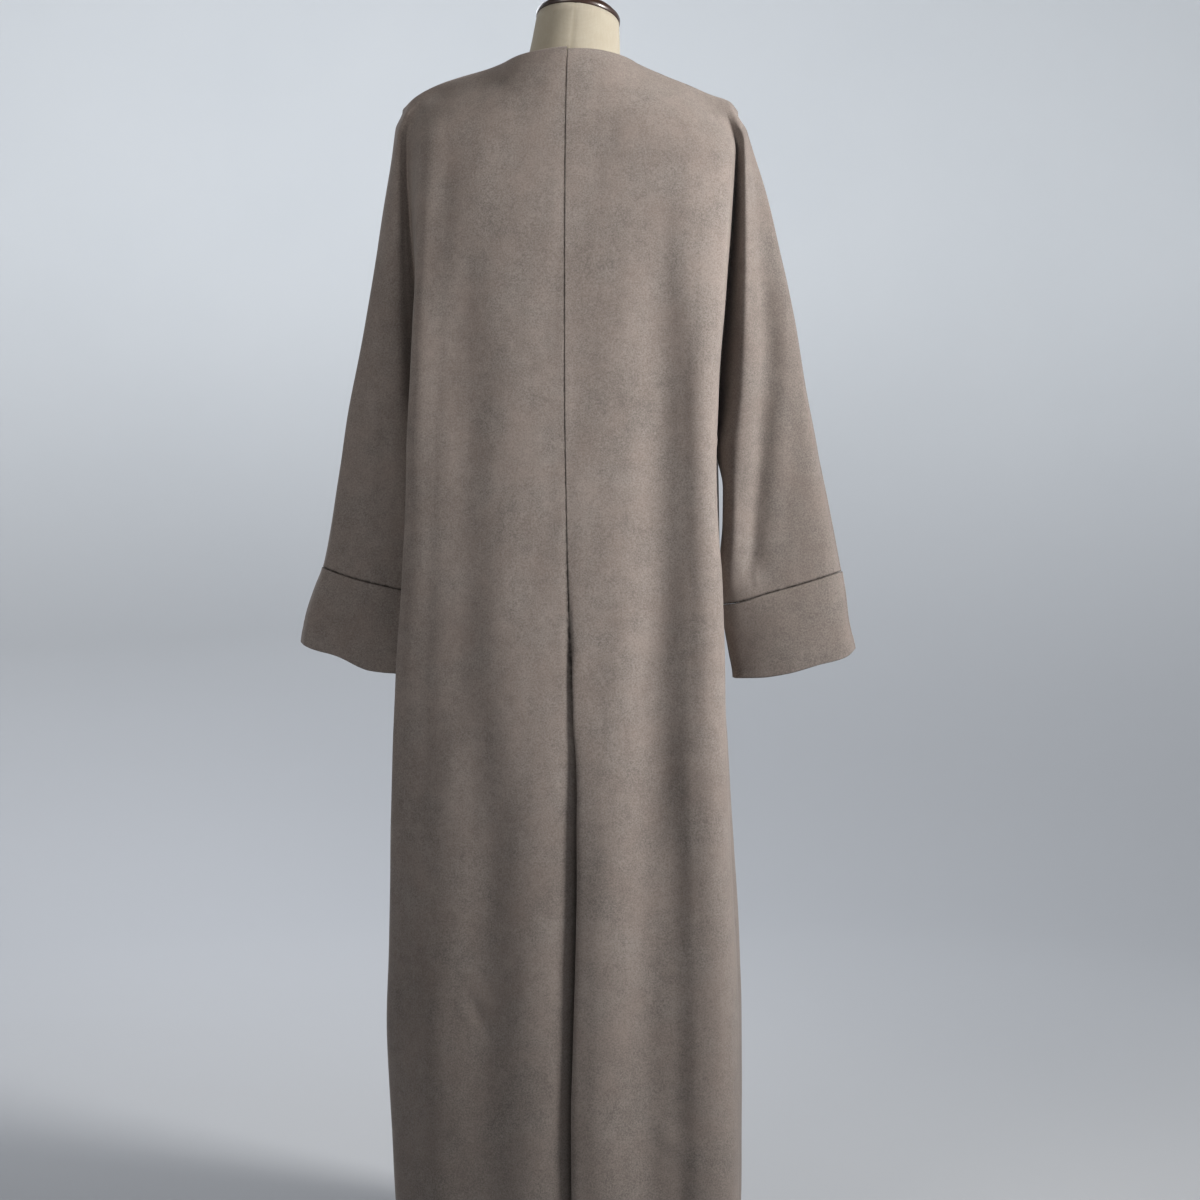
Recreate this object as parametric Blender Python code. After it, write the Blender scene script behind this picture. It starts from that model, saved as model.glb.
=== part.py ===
"""Full-length batwing abaya cloak resting on a limbless dress form with a pole stand.

Frame: metres, +Z up, the wearer's front faces -Y and the wearer's left is +X. The origin
is the centre of the stand's flat underside.

The cloak is four panels (back and front, left and right), each cut in one with its half
of a sleeve, and two separate cuffs. Every panel is a thin wall on a sheet of rows and
columns. A row is a level curve seen from above: a smooth curve through a few named
control points, whose places come from short tables by height. Above the underarm one
curve crosses the body and the sleeve; below it the sheet divides into a body leg that
ends at the side seam and a sleeve leg that ends at the cuff seam.
"""
import math

import bmesh
import bpy
import numpy as np

MM = 0.001

# ---- cloth -------------------------------------------------------------------------
CLOTH_WALL = 1.8 * MM          # thick faux suede
CUFF_WALL = 3.0 * MM           # the cuff is the same cloth turned double
SEAM_HALF_GAP = 0.15 * MM      # each piece stops this far short of a seam
CUFF_SEAM_GAP = 0.30 * MM      # the double cuff stops a little further back
UNDERARM_HEIGHT = 1.040
HEM_HEIGHT = 0.040
NECK_HALF_WIDTH = 0.085
NECK_BACK_Y = 0.068
NECK_FRONT_Y = -0.088
SHOULDER_SEAM_Y = -0.002
NECK_BACK_HEIGHT = 1.5095
NECK_FRONT_HEIGHT = 1.405
FRONT_EDGE_TOP = 0.004         # half the gap between the open front edges at the neck
FRONT_EDGE_HEM = 0.014         # and at the hem

# ---- places along a row, 0 at the centre seam and 1 at the overarm seam --------------
AT_NECK_POINT = 0.25
AT_UNDERTURN = 0.02
AT_LIP = 0.04
AT_FOLD = 0.5
AT_VALLEY = 0.6
AT_ROUNDING = 0.64
AT_RIDGE = 0.7
AT_MIDDLE = 0.85
AT_TURN = 0.95
BODY_PLACES = (0.0, AT_UNDERTURN, AT_LIP, 0.1, 0.2, 0.3, 0.4, AT_FOLD, AT_VALLEY)
SLEEVE_PLACES = (AT_VALLEY, AT_ROUNDING, AT_RIDGE, AT_MIDDLE, AT_TURN, 1.0)
# how square the back and front are seen from above
BODY_ROUNDNESS = {("back", "left"): 2.6, ("back", "right"): 5.0,
                  ("front", "left"): 2.6, ("front", "right"): 2.6}

# ---- shares that shape a row and a column -----------------------------------------------
UNDERARM_BLEND = 0.12          # height over which the sleeve's underside changes its rounding
ROUNDING_ABOVE = (0.5, 0.5)    # way from the valley to the ridge, across and deep, above it
ROUNDING_BELOW = (0.2, 0.72)   # and below it
OVERARM_TURN = (0.14, 0.56)    # way from the overarm seam back to the sleeve's middle
DROP_CROWDING = 1.45           # how much closer the rows lie towards the shoulder
NECK_SCOOP = 1.6               # how long the front neckline stays low
NECK_BEND = 1.5                # how early the back neckline bends forward to the neck point

# ---- sampling ----------------------------------------------------------------------
COLUMNS = (0.0, 0.01, 0.02, 0.03, 0.04, 0.07, 0.12, 0.18, 0.25, 0.32, 0.38, 0.44, 0.5, 0.55,
           0.6, 0.64, 0.7, 0.775, 0.85, 0.95, 1.0)
UPPER_ROWS = 13
BODY_ROWS = 14
SLEEVE_ROWS = 5
CUFF_ROWS = 3
EDGE_PASSES = 4

# ---- shoulder seams: distance from the centre, height --------------------------------
SHOULDER = {
    "left": ((0.085, 1.5085), (0.102, 1.5030), (0.162, 1.4875), (0.195, 1.4722), (0.2140, 1.4555)),
    "right": ((0.085, 1.5025), (0.0985, 1.4975), (0.1413, 1.4808), (0.1737, 1.4675),
              (0.1955, 1.4590), (0.2055, 1.4475)),
}
# where a column leaves the shoulder seam: place along the row, share of the seam's run
SHOULDER_SHARE = ((0.25, 0.0), (0.5, 0.69), (0.6, 0.83), (0.7, 0.91), (0.85, 0.96), (1.0, 1.0))
# how far below its top edge a column has reached its section: place, drop
SHOULDER_DROP = ((0.0, 0.11), (0.25, 0.12), (0.5, 0.10), (0.6, 0.07), (0.85, 0.04), (1.0, 0.025))

# ---- centre back: height, seam_x, body_y, fold_depth ---------------------------------
CENTRE_BACK = (
    (1.510, 0.0020, 0.090, 0.0),
    (1.380, 0.0025, 0.103, 0.0),
    (1.250, 0.0030, 0.108, 0.0),
    (1.100, 0.0030, 0.108, 0.0),
    (0.960, 0.0006, 0.114, 0.0),
    (0.860, -0.0018, 0.119, 0.0014),
    (0.800, -0.0040, 0.122, 0.0036),
    (0.750, -0.0082, 0.124, 0.0068),
    (0.700, -0.0150, 0.127, 0.0112),
    (0.655, -0.0198, 0.129, 0.0156),
    (0.600, -0.0214, 0.132, 0.0212),
    (0.530, -0.0212, 0.134, 0.0250),
    (0.340, -0.0182, 0.141, 0.0270),
    (0.240, -0.0158, 0.145, 0.0270),
    (0.040, -0.0175, 0.151, 0.0260),
)
# how the right panel turns over the seam: fold depth, then past the seam and the share of
# the depth still to rise, at its underturn and at its lip
CENTRE_TURN = (
    (0.0000, 0.0070, 0.60, 0.0140, 0.30),
    (0.0020, 0.0032, 0.62, 0.0070, 0.24),
    (0.0045, 0.0027, 0.58, 0.0038, 0.16),
    (0.0075, 0.0034, 0.62, -0.0008, 0.12),
    (0.0140, 0.0050, 0.69, -0.0070, 0.12),
    (0.0300, 0.0050, 0.69, -0.0070, 0.12),
)
LEFT_DIP = (1.0, 0.56, 0.38, 0.14)   # share of the fold's depth at the left panel's first places

# ---- centre front: height, body_y ------------------------------------------------------
CENTRE_FRONT = ((1.405, -0.100), (1.300, -0.118), (1.240, -0.124), (1.100, -0.121), (0.900, -0.122),
                (0.600, -0.131), (0.300, -0.141), (0.040, -0.148))

# ---- seams by side: height, side_x, side_y, inner_x, inner_y, outer_x, outer_y ---------
SEAMS = {
    "left": (
        (1.4555, 0.178, 0.000, 0.178, 0.000, 0.2137, -0.002),
        (1.4480, 0.178, 0.000, 0.178, 0.000, 0.2175, -0.002),
        (1.3880, 0.178, 0.000, 0.178, 0.000, 0.2252, -0.001),
        (1.3090, 0.178, 0.000, 0.178, 0.000, 0.2390, 0.000),
        (1.1800, 0.178, 0.000, 0.178, 0.000, 0.2600, 0.000),
        (1.0680, 0.178, 0.000, 0.178, 0.000, 0.2834, -0.002),
        (1.0400, 0.178, 0.000, 0.178, 0.000, 0.2882, -0.003),
        (1.0150, 0.1690, -0.003, 0.1800, -0.003, 0.2922, -0.004),
        (0.9800, 0.1655, -0.006, 0.1795, -0.006, 0.2980, -0.005),
        (0.9280, 0.1640, -0.008, 0.1775, -0.008, 0.3063, -0.006),
        (0.8815, 0.1630, -0.010, 0.1760, -0.010, 0.3164, -0.008),
        (0.8540, 0.1625, -0.010, 0.1755, -0.011, 0.3270, -0.009),
        (0.8200, 0.1625, -0.010, 0.1760, -0.011, 0.3380, -0.010),
        (0.7850, 0.1620, -0.012, 0.1780, -0.013, 0.3445, -0.010),
        (0.7400, 0.1630, -0.013, 0.1800, -0.014, 0.3470, -0.010),
        (0.6800, 0.1780, -0.009, 0.0, 0.0, 0.0, 0.0),
        (0.6000, 0.2030, -0.006, 0.0, 0.0, 0.0, 0.0),
        (0.4500, 0.2200, -0.005, 0.0, 0.0, 0.0, 0.0),
        (0.3200, 0.2270, -0.005, 0.0, 0.0, 0.0, 0.0),
        (0.1800, 0.2210, -0.005, 0.0, 0.0, 0.0, 0.0),
        (0.0400, 0.2130, -0.005, 0.0, 0.0, 0.0, 0.0),
    ),
    "right": (
        (1.4475, 0.176, 0.000, 0.176, 0.000, 0.2050, -0.002),
        (1.4360, 0.176, 0.000, 0.176, 0.000, 0.2105, -0.002),
        (1.3880, 0.176, 0.000, 0.176, 0.000, 0.2258, -0.001),
        (1.3235, 0.176, 0.000, 0.176, 0.000, 0.2450, 0.000),
        (1.2675, 0.176, 0.000, 0.176, 0.000, 0.2580, 0.000),
        (1.1900, 0.176, 0.000, 0.176, 0.000, 0.2754, 0.000),
        (1.1000, 0.176, 0.000, 0.176, 0.000, 0.2902, -0.001),
        (1.0400, 0.176, 0.000, 0.176, 0.000, 0.3020, -0.003),
        (1.0150, 0.1680, -0.003, 0.1810, -0.003, 0.3065, -0.004),
        (0.9800, 0.1650, -0.006, 0.1880, -0.006, 0.3140, -0.005),
        (0.9350, 0.1640, -0.008, 0.1875, -0.008, 0.3230, -0.006),
        (0.8870, 0.1630, -0.010, 0.1840, -0.010, 0.3322, -0.008),
        (0.8540, 0.1625, -0.010, 0.1840, -0.011, 0.3385, -0.009),
        (0.8150, 0.1625, -0.010, 0.1890, -0.011, 0.3430, -0.010),
        (0.7730, 0.1640, -0.010, 0.1960, -0.011, 0.3520, -0.010),
        (0.7400, 0.1680, -0.010, 0.2010, -0.011, 0.3540, -0.010),
        (0.6800, 0.1780, -0.005, 0.0, 0.0, 0.0, 0.0),
        (0.6000, 0.1870, 0.005, 0.0, 0.0, 0.0, 0.0),
        (0.4600, 0.1965, 0.022, 0.0, 0.0, 0.0, 0.0),
        (0.3300, 0.2035, 0.030, 0.0, 0.0, 0.0, 0.0),
        (0.1800, 0.2050, 0.030, 0.0, 0.0, 0.0, 0.0),
        (0.0400, 0.2000, 0.030, 0.0, 0.0, 0.0, 0.0),
    ),
}

# ---- back folds: height, fold_x, fold_y, valley_x, valley_y, ridge_x, ridge_y,
#      middle_x, middle_y. Below the underarm the valley columns are not used. ----------
BACK_FOLDS = {
    "left": (
        (1.470, 0.1700, 0.040, 0.1930, 0.030, 0.2030, 0.024, 0.2080, 0.012),
        (1.440, 0.1780, 0.060, 0.2020, 0.038, 0.2090, 0.036, 0.2150, 0.022),
        (1.380, 0.1775, 0.077, 0.2020, 0.040, 0.2120, 0.046, 0.2210, 0.034),
        (1.310, 0.1800, 0.081, 0.1990, 0.036, 0.2120, 0.048, 0.2260, 0.040),
        (1.240, 0.1820, 0.083, 0.1935, 0.028, 0.2130, 0.046, 0.2330, 0.041),
        (1.180, 0.1870, 0.083, 0.1890, 0.020, 0.2130, 0.043, 0.2380, 0.040),
        (1.110, 0.1905, 0.082, 0.1830, 0.009, 0.2120, 0.039, 0.2430, 0.037),
        (1.040, 0.1945, 0.080, 0.1780, 0.000, 0.2110, 0.035, 0.2480, 0.035),
        (0.980, 0.1965, 0.078, 0.0, 0.0, 0.2090, 0.030, 0.2510, 0.033),
        (0.860, 0.2028, 0.076, 0.0, 0.0, 0.2030, 0.020, 0.2530, 0.026),
        (0.740, 0.2105, 0.072, 0.0, 0.0, 0.2030, 0.018, 0.2600, 0.024),
        (0.620, 0.2155, 0.066, 0.0, 0.0, 0.0, 0.0, 0.0, 0.0),
        (0.420, 0.2180, 0.062, 0.0, 0.0, 0.0, 0.0, 0.0, 0.0),
        (0.320, 0.2203, 0.060, 0.0, 0.0, 0.0, 0.0, 0.0, 0.0),
        (0.180, 0.2140, 0.062, 0.0, 0.0, 0.0, 0.0, 0.0, 0.0),
        (0.040, 0.2065, 0.064, 0.0, 0.0, 0.0, 0.0, 0.0, 0.0),
    ),
    "right": (
        (1.470, 0.1760, 0.036, 0.1900, 0.030, 0.1990, 0.024, 0.2030, 0.012),
        (1.430, 0.1900, 0.060, 0.1990, 0.044, 0.2070, 0.044, 0.2120, 0.026),
        (1.395, 0.1960, 0.070, 0.2030, 0.042, 0.2130, 0.050, 0.2190, 0.034),
        (1.300, 0.1900, 0.079, 0.1990, 0.032, 0.2140, 0.054, 0.2290, 0.038),
        (1.190, 0.1824, 0.088, 0.1890, 0.018, 0.2130, 0.052, 0.2400, 0.034),
        (1.110, 0.1755, 0.092, 0.1820, 0.008, 0.2100, 0.048, 0.2480, 0.030),
        (1.040, 0.1723, 0.095, 0.1760, 0.000, 0.2050, 0.043, 0.2400, 0.030),
        (0.990, 0.1721, 0.097, 0.0, 0.0, 0.2010, 0.039, 0.2360, 0.030),
        (0.930, 0.1744, 0.099, 0.0, 0.0, 0.1985, 0.034, 0.2300, 0.028),
        (0.866, 0.1795, 0.101, 0.0, 0.0, 0.1955, 0.026, 0.2330, 0.024),
        (0.835, 0.1808, 0.102, 0.0, 0.0, 0.2010, 0.020, 0.2500, 0.024),
        (0.740, 0.1833, 0.105, 0.0, 0.0, 0.2200, 0.016, 0.2750, 0.022),
        (0.640, 0.1835, 0.107, 0.0, 0.0, 0.0, 0.0, 0.0, 0.0),
        (0.480, 0.1869, 0.111, 0.0, 0.0, 0.0, 0.0, 0.0, 0.0),
        (0.330, 0.1936, 0.114, 0.0, 0.0, 0.0, 0.0, 0.0, 0.0),
        (0.180, 0.1940, 0.117, 0.0, 0.0, 0.0, 0.0, 0.0, 0.0),
        (0.040, 0.1904, 0.120, 0.0, 0.0, 0.0, 0.0, 0.0, 0.0),
    ),
}

# ---- front folds, the same columns ------------------------------------------------------
FRONT_FOLDS = {
    "left": (
        (1.470, 0.1700, -0.040, 0.1930, -0.030, 0.2030, -0.024, 0.2080, -0.014),
        (1.440, 0.1800, -0.056, 0.2000, -0.038, 0.2080, -0.036, 0.2150, -0.024),
        (1.380, 0.1800, -0.074, 0.1990, -0.040, 0.2110, -0.046, 0.2200, -0.036),
        (1.300, 0.1790, -0.083, 0.1940, -0.034, 0.2110, -0.048, 0.2260, -0.042),
        (1.200, 0.1790, -0.085, 0.1870, -0.022, 0.2120, -0.046, 0.2360, -0.042),
        (1.110, 0.1800, -0.084, 0.1820, -0.010, 0.2120, -0.043, 0.2430, -0.042),
        (1.040, 0.1810, -0.082, 0.1780, 0.000, 0.2110, -0.041, 0.2480, -0.042),
        (0.980, 0.1820, -0.080, 0.0, 0.0, 0.2090, -0.040, 0.2510, -0.042),
        (0.860, 0.1850, -0.079, 0.0, 0.0, 0.2050, -0.038, 0.2560, -0.042),
        (0.740, 0.1900, -0.078, 0.0, 0.0, 0.2040, -0.037, 0.2620, -0.042),
        (0.600, 0.2010, -0.078, 0.0, 0.0, 0.0, 0.0, 0.0, 0.0),
        (0.330, 0.2130, -0.082, 0.0, 0.0, 0.0, 0.0, 0.0, 0.0),
        (0.040, 0.2010, -0.084, 0.0, 0.0, 0.0, 0.0, 0.0, 0.0),
    ),
    "right": (
        (1.470, 0.1700, -0.040, 0.1880, -0.030, 0.1980, -0.024, 0.2030, -0.014),
        (1.430, 0.1800, -0.060, 0.1970, -0.040, 0.2060, -0.038, 0.2120, -0.026),
        (1.380, 0.1800, -0.074, 0.1980, -0.041, 0.2110, -0.046, 0.2200, -0.036),
        (1.290, 0.1785, -0.083, 0.1930, -0.034, 0.2120, -0.049, 0.2290, -0.041),
        (1.190, 0.1780, -0.084, 0.1860, -0.022, 0.2120, -0.048, 0.2400, -0.040),
        (1.110, 0.1780, -0.083, 0.1810, -0.010, 0.2110, -0.045, 0.2480, -0.040),
        (1.040, 0.1785, -0.081, 0.1760, 0.000, 0.2090, -0.042, 0.2500, -0.041),
        (0.980, 0.1800, -0.080, 0.0, 0.0, 0.2120, -0.040, 0.2550, -0.042),
        (0.860, 0.1830, -0.079, 0.0, 0.0, 0.2130, -0.038, 0.2620, -0.042),
        (0.740, 0.1880, -0.078, 0.0, 0.0, 0.2260, -0.037, 0.2780, -0.042),
        (0.600, 0.1940, -0.076, 0.0, 0.0, 0.0, 0.0, 0.0, 0.0),
        (0.330, 0.2065, -0.062, 0.0, 0.0, 0.0, 0.0, 0.0, 0.0),
        (0.040, 0.2070, -0.062, 0.0, 0.0, 0.0, 0.0, 0.0, 0.0),
    ),
}

# ---- soft hanging folds on the body, one table a fold: height, place_x, rise, half_width.
# They fade out over this much of a row beside the centre and the side seams. ----------
SOFT_FOLD_FADE = 0.08
SOFT_FOLDS = {
    ("back", "left"): (
        ((1.320, 0.122, 0.0, 0.030), (1.140, 0.124, -0.0045, 0.031), (0.800, 0.120, -0.0035, 0.030),
         (0.500, 0.094, -0.009, 0.038), (0.040, 0.090, -0.012, 0.042)),
        ((0.640, 0.170, 0.0, 0.026), (0.420, 0.172, 0.004, 0.026), (0.040, 0.166, 0.005, 0.028)),
    ),
    ("back", "right"): (
        ((0.720, 0.045, 0.0, 0.024), (0.500, 0.044, 0.003, 0.024), (0.040, 0.042, 0.004, 0.024)),
        ((1.360, 0.112, 0.0, 0.030), (1.140, 0.112, -0.0065, 0.030), (0.800, 0.104, -0.009, 0.029),
         (0.600, 0.099, -0.011, 0.028), (0.040, 0.096, -0.012, 0.029)),
        ((1.300, 0.156, 0.0, 0.021), (1.140, 0.155, 0.003, 0.021), (0.750, 0.158, 0.0035, 0.022),
         (0.040, 0.163, 0.004, 0.024)),
    ),
    ("front", "left"): (
        ((1.180, 0.095, 0.0, 0.028), (0.800, 0.098, 0.005, 0.030), (0.040, 0.104, 0.009, 0.032)),
        ((0.900, 0.048, 0.0, 0.026), (0.500, 0.050, -0.006, 0.028), (0.040, 0.052, -0.010, 0.030)),
    ),
    ("front", "right"): (
        ((1.120, 0.104, 0.0, 0.028), (0.740, 0.108, 0.006, 0.030), (0.040, 0.116, 0.010, 0.032)),
        ((0.800, 0.056, 0.0, 0.026), (0.400, 0.060, -0.005, 0.028), (0.040, 0.062, -0.009, 0.030)),
    ),
}

# ---- cuff seam and cuff hem: share of the way from the inner to the outer edge, height ---
CUFF_SEAM = {
    "left": ((0.0, 0.8440), (0.28, 0.8537), (0.65, 0.8665), (1.0, 0.8820)),
    "right": ((0.0, 0.8345), (0.10, 0.8360), (0.35, 0.8470), (0.68, 0.8610), (1.0, 0.8760)),
}
CUFF_HEM = {
    "left": ((0.0, 0.7470), (0.25, 0.7485), (0.42, 0.7515), (0.70, 0.7705), (0.90, 0.7790), (1.0, 0.7860)),
    "right": ((0.0, 0.7430), (0.21, 0.7440), (0.43, 0.7490), (0.69, 0.7600), (0.91, 0.7690), (1.0, 0.7790)),
}

# ---- dress form: height, half_width, back_y, front_y -----------------------------------
TORSO_RINGS = (
    (0.770, 0.128, 0.084, -0.080),
    (0.800, 0.142, 0.094, -0.090),
    (0.870, 0.148, 0.100, -0.096),
    (0.940, 0.146, 0.095, -0.093),
    (1.020, 0.128, 0.078, -0.084),
    (1.080, 0.116, 0.068, -0.078),
    (1.140, 0.119, 0.070, -0.084),
    (1.220, 0.135, 0.079, -0.102),
    (1.270, 0.143, 0.084, -0.107),
    (1.330, 0.147, 0.087, -0.096),
    (1.390, 0.158, 0.084, -0.074),
    (1.425, 0.164, 0.074, -0.060),
    (1.445, 0.160, 0.063, -0.050),
    (1.462, 0.138, 0.055, -0.042),
    (1.478, 0.108, 0.052, -0.040),
    (1.492, 0.078, 0.052, -0.044),
    (1.506, 0.062, 0.053, -0.050),
    (1.520, 0.0575, 0.0525, -0.053),
    (1.540, 0.0550, 0.0500, -0.0530),
)
TORSO_SIDES = 40
NECK_LEAN_START = 1.500
NECK_LEAN_FORWARD = math.radians(8.0)
NECK_LEAN_RIGHT = math.radians(5.0)
NECK_TOP_HEIGHT = 1.566
NECK_TOP_RADIUS = 0.0520
CAP_RADIUS = 0.0528
CAP_BAND = 0.008
CAP_DOME = 0.014
CAP_ROUNDING = 0.004
CAP_EDGE_TURN = 0.0012         # the rounded edge halfway between the band and the dome
CAP_DOME_STEPS = 5
PART_GAP = 0.3 * MM
POLE_RADIUS = 0.014
POLE_COLLAR_RADIUS = 0.030
POLE_COLLAR_HEIGHT = 0.018
BASE_RADIUS = 0.135
BASE_HEIGHT = 0.016
BASE_EDGE = 0.006
TURNED_SIDES = 40

# ---- colours: red, green, blue, roughness, metallic --------------------------------------
SUEDE = (0.195, 0.156, 0.135, 0.9, 0.0)
LINEN = (0.60, 0.55, 0.45, 0.85, 0.0)
CAP_BROWN = (0.028, 0.018, 0.012, 0.35, 0.0)
STAND_GREY = (0.10, 0.10, 0.105, 0.4, 0.6)


def eased(rows, height, column):
    """A table column at a height: a monotone cubic through the table's rows."""
    ordered = sorted(rows)
    xs = [row[0] for row in ordered]
    ys = [row[column] for row in ordered]
    if height <= xs[0]:
        return ys[0]
    if height >= xs[-1]:
        return ys[-1]
    steps = [xs[i + 1] - xs[i] for i in range(len(xs) - 1)]
    slopes = [(ys[i + 1] - ys[i]) / steps[i] for i in range(len(steps))]
    tangents = [slopes[0]]
    for i in range(1, len(slopes)):
        if slopes[i - 1] * slopes[i] <= 0.0:
            tangents.append(0.0)
        else:
            first = 2.0 * steps[i] + steps[i - 1]
            second = steps[i] + 2.0 * steps[i - 1]
            tangents.append((first + second) / (first / slopes[i - 1] + second / slopes[i]))
    tangents.append(slopes[-1])
    i = max(k for k in range(len(steps)) if xs[k] <= height)
    t = (height - xs[i]) / steps[i]
    return (ys[i] * (1 + 2 * t) * (1 - t) ** 2 + tangents[i] * steps[i] * t * (1 - t) ** 2
            + ys[i + 1] * t * t * (3 - 2 * t) + tangents[i + 1] * steps[i] * t * t * (t - 1))


def straight(rows, place, column=1):
    """A table column at a place, in straight lines between the rows."""
    return float(np.interp(place, [row[0] for row in rows], [row[column] for row in rows]))


def smooth_curve(places, points, place):
    """The point at a place on a centripetal curve through control points."""
    last = len(points) - 2
    i = min(max(k for k in range(len(places)) if places[k] <= place + 1e-9), last)
    t = (place - places[i]) / (places[i + 1] - places[i])
    a, b = np.array(points[i]), np.array(points[i + 1])
    before = np.array(points[i - 1]) if i > 0 else 2 * a - b
    after = np.array(points[i + 2]) if i < last else 2 * b - a
    gap_before = math.sqrt(np.linalg.norm(a - before))
    gap = math.sqrt(np.linalg.norm(b - a))
    gap_after = math.sqrt(np.linalg.norm(after - b))
    leave = (b - a) + gap * ((a - before) / gap_before - (b - before) / (gap_before + gap))
    arrive = (b - a) + gap * ((after - b) / gap_after - (after - a) / (gap + gap_after))
    return (a * (1 + 2 * t) * (1 - t) ** 2 + leave * t * (1 - t) ** 2
            + b * t * t * (3 - 2 * t) + arrive * t * t * (t - 1))


class Panel:
    """One panel of the cloak: where each place on each level is, seen from above."""

    def __init__(self, face, side):
        self.face = face
        self.side = side
        self.mirror = 1.0 if side == "left" else -1.0
        self.folds = (BACK_FOLDS if face == "back" else FRONT_FOLDS)[side]
        self.seams = SEAMS[side]

    def centre(self, height):
        """Distance of the centre edge outward from the middle, body depth there, fold depth."""
        if self.face == "back":
            outward = self.mirror * eased(CENTRE_BACK, height, 1)
            return outward, eased(CENTRE_BACK, height, 2), eased(CENTRE_BACK, height, 3)
        share = (NECK_FRONT_HEIGHT - height) / (NECK_FRONT_HEIGHT - HEM_HEIGHT)
        share = min(max(share, 0.0), 1.0)
        outward = FRONT_EDGE_TOP + (FRONT_EDGE_HEM - FRONT_EDGE_TOP) * share
        return outward, eased(CENTRE_FRONT, height, 1), 0.0

    def body_points(self, height):
        """Control points from the centre edge to the fold, then to the valley or side seam."""
        centre_x, centre_y, depth = self.centre(height)
        fold_x, fold_y = eased(self.folds, height, 1), eased(self.folds, height, 2)
        points = []
        for place in BODY_PLACES[:-1]:
            share = place / AT_FOLD
            x = centre_x + (fold_x - centre_x) * share
            y = centre_y - (centre_y - fold_y) * share ** BODY_ROUNDNESS[(self.face, self.side)]
            points.append([x, y])
        if self.side == "left":
            for point, dip in zip(points, LEFT_DIP):
                point[1] -= dip * depth
        else:
            points[0][1] -= depth
            if depth > 0.0:
                for point, column in ((points[1], 1), (points[2], 3)):
                    point[0] = centre_x + eased(CENTRE_TURN, depth, column)
                    point[1] -= depth * eased(CENTRE_TURN, depth, column + 1)
        if height > UNDERARM_HEIGHT:
            points.append([eased(self.folds, height, 3), eased(self.folds, height, 4)])
        else:
            points.append([eased(self.seams, height, 1), eased(self.seams, height, 2)])
        return points

    def sleeve_points(self, height):
        """Control points from the valley or underarm seam to the overarm seam."""
        if height > UNDERARM_HEIGHT:
            start = [eased(self.folds, height, 3), eased(self.folds, height, 4)]
        else:
            start = [eased(self.seams, height, 3), eased(self.seams, height, 4)]
        ridge = [eased(self.folds, height, 5), eased(self.folds, height, 6)]
        middle = [eased(self.folds, height, 7), eased(self.folds, height, 8)]
        outer = [eased(self.seams, height, 5), eased(self.seams, height, 6)]
        below = min(max((UNDERARM_HEIGHT + UNDERARM_BLEND / 2 - height) / UNDERARM_BLEND, 0.0), 1.0)
        across = ROUNDING_ABOVE[0] + (ROUNDING_BELOW[0] - ROUNDING_ABOVE[0]) * below
        deep = ROUNDING_ABOVE[1] + (ROUNDING_BELOW[1] - ROUNDING_ABOVE[1]) * below
        rounding = [start[0] + (ridge[0] - start[0]) * across, start[1] + (ridge[1] - start[1]) * deep]
        turn = [outer[0] + (middle[0] - outer[0]) * OVERARM_TURN[0],
                outer[1] + (middle[1] - outer[1]) * OVERARM_TURN[1]]
        return [start, rounding, ridge, middle, turn, outer]

    def section(self, place, height, leg):
        """Distance outward and depth of a place at a level; leg is body, sleeve or whole."""
        if leg == "body":
            places = BODY_PLACES
            points = self.body_points(height)
        elif leg == "sleeve":
            places = SLEEVE_PLACES
            points = self.sleeve_points(height)
        else:
            places = BODY_PLACES + SLEEVE_PLACES[1:]
            points = self.body_points(height) + self.sleeve_points(height)[1:]
        x, y = smooth_curve(places, points, place)
        if place < AT_VALLEY:
            outward_sign = 1.0 if self.face == "back" else -1.0
            fade = min(place, AT_VALLEY - place, SOFT_FOLD_FADE) / SOFT_FOLD_FADE
            for fold in SOFT_FOLDS[(self.face, self.side)]:
                away = (x - eased(fold, height, 1)) / eased(fold, height, 3)
                y += outward_sign * fade * eased(fold, height, 2) * math.exp(-away * away)
        return x, y

    def top(self, place):
        """The top edge: the neckline, then the shoulder seam out to the shoulder end."""
        shoulder = SHOULDER[self.side]
        if place <= AT_NECK_POINT:
            turn = 0.5 * math.pi * place / AT_NECK_POINT
            start_x = self.centre(NECK_BACK_HEIGHT)[0]
            x = start_x + (NECK_HALF_WIDTH - start_x) * math.sin(turn)
            if self.face == "back":
                y = SHOULDER_SEAM_Y + (NECK_BACK_Y - SHOULDER_SEAM_Y) * math.cos(turn) ** NECK_BEND
                z = NECK_BACK_HEIGHT + (shoulder[0][1] - NECK_BACK_HEIGHT) * (1 - math.cos(turn))
            else:
                y = SHOULDER_SEAM_Y + (NECK_FRONT_Y - SHOULDER_SEAM_Y) * math.cos(turn)
                z = NECK_FRONT_HEIGHT + (shoulder[0][1] - NECK_FRONT_HEIGHT) * math.sin(turn) ** NECK_SCOOP
            return x, y, z
        share = straight(SHOULDER_SHARE, place)
        x = shoulder[0][0] + (shoulder[-1][0] - shoulder[0][0]) * share
        return x, SHOULDER_SEAM_Y, eased(shoulder, x, 1)

    def upper_point(self, place, share):
        """A point between the top edge and the underarm level, share 0 to 1 downward."""
        top_x, top_y, top_z = self.top(place)
        height = top_z - (top_z - UNDERARM_HEIGHT) * share ** DROP_CROWDING
        x, y = self.section(place, height, "whole")
        drop = straight(SHOULDER_DROP, place)
        fallen = min((top_z - height) / drop, 1.0)
        rounded = math.sqrt(1.0 - (1.0 - fallen) ** 2)
        sidled = fallen * fallen * (3.0 - 2.0 * fallen)
        return (self.mirror * (top_x + (x - top_x) * sidled), top_y + (y - top_y) * rounded, height)

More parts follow.
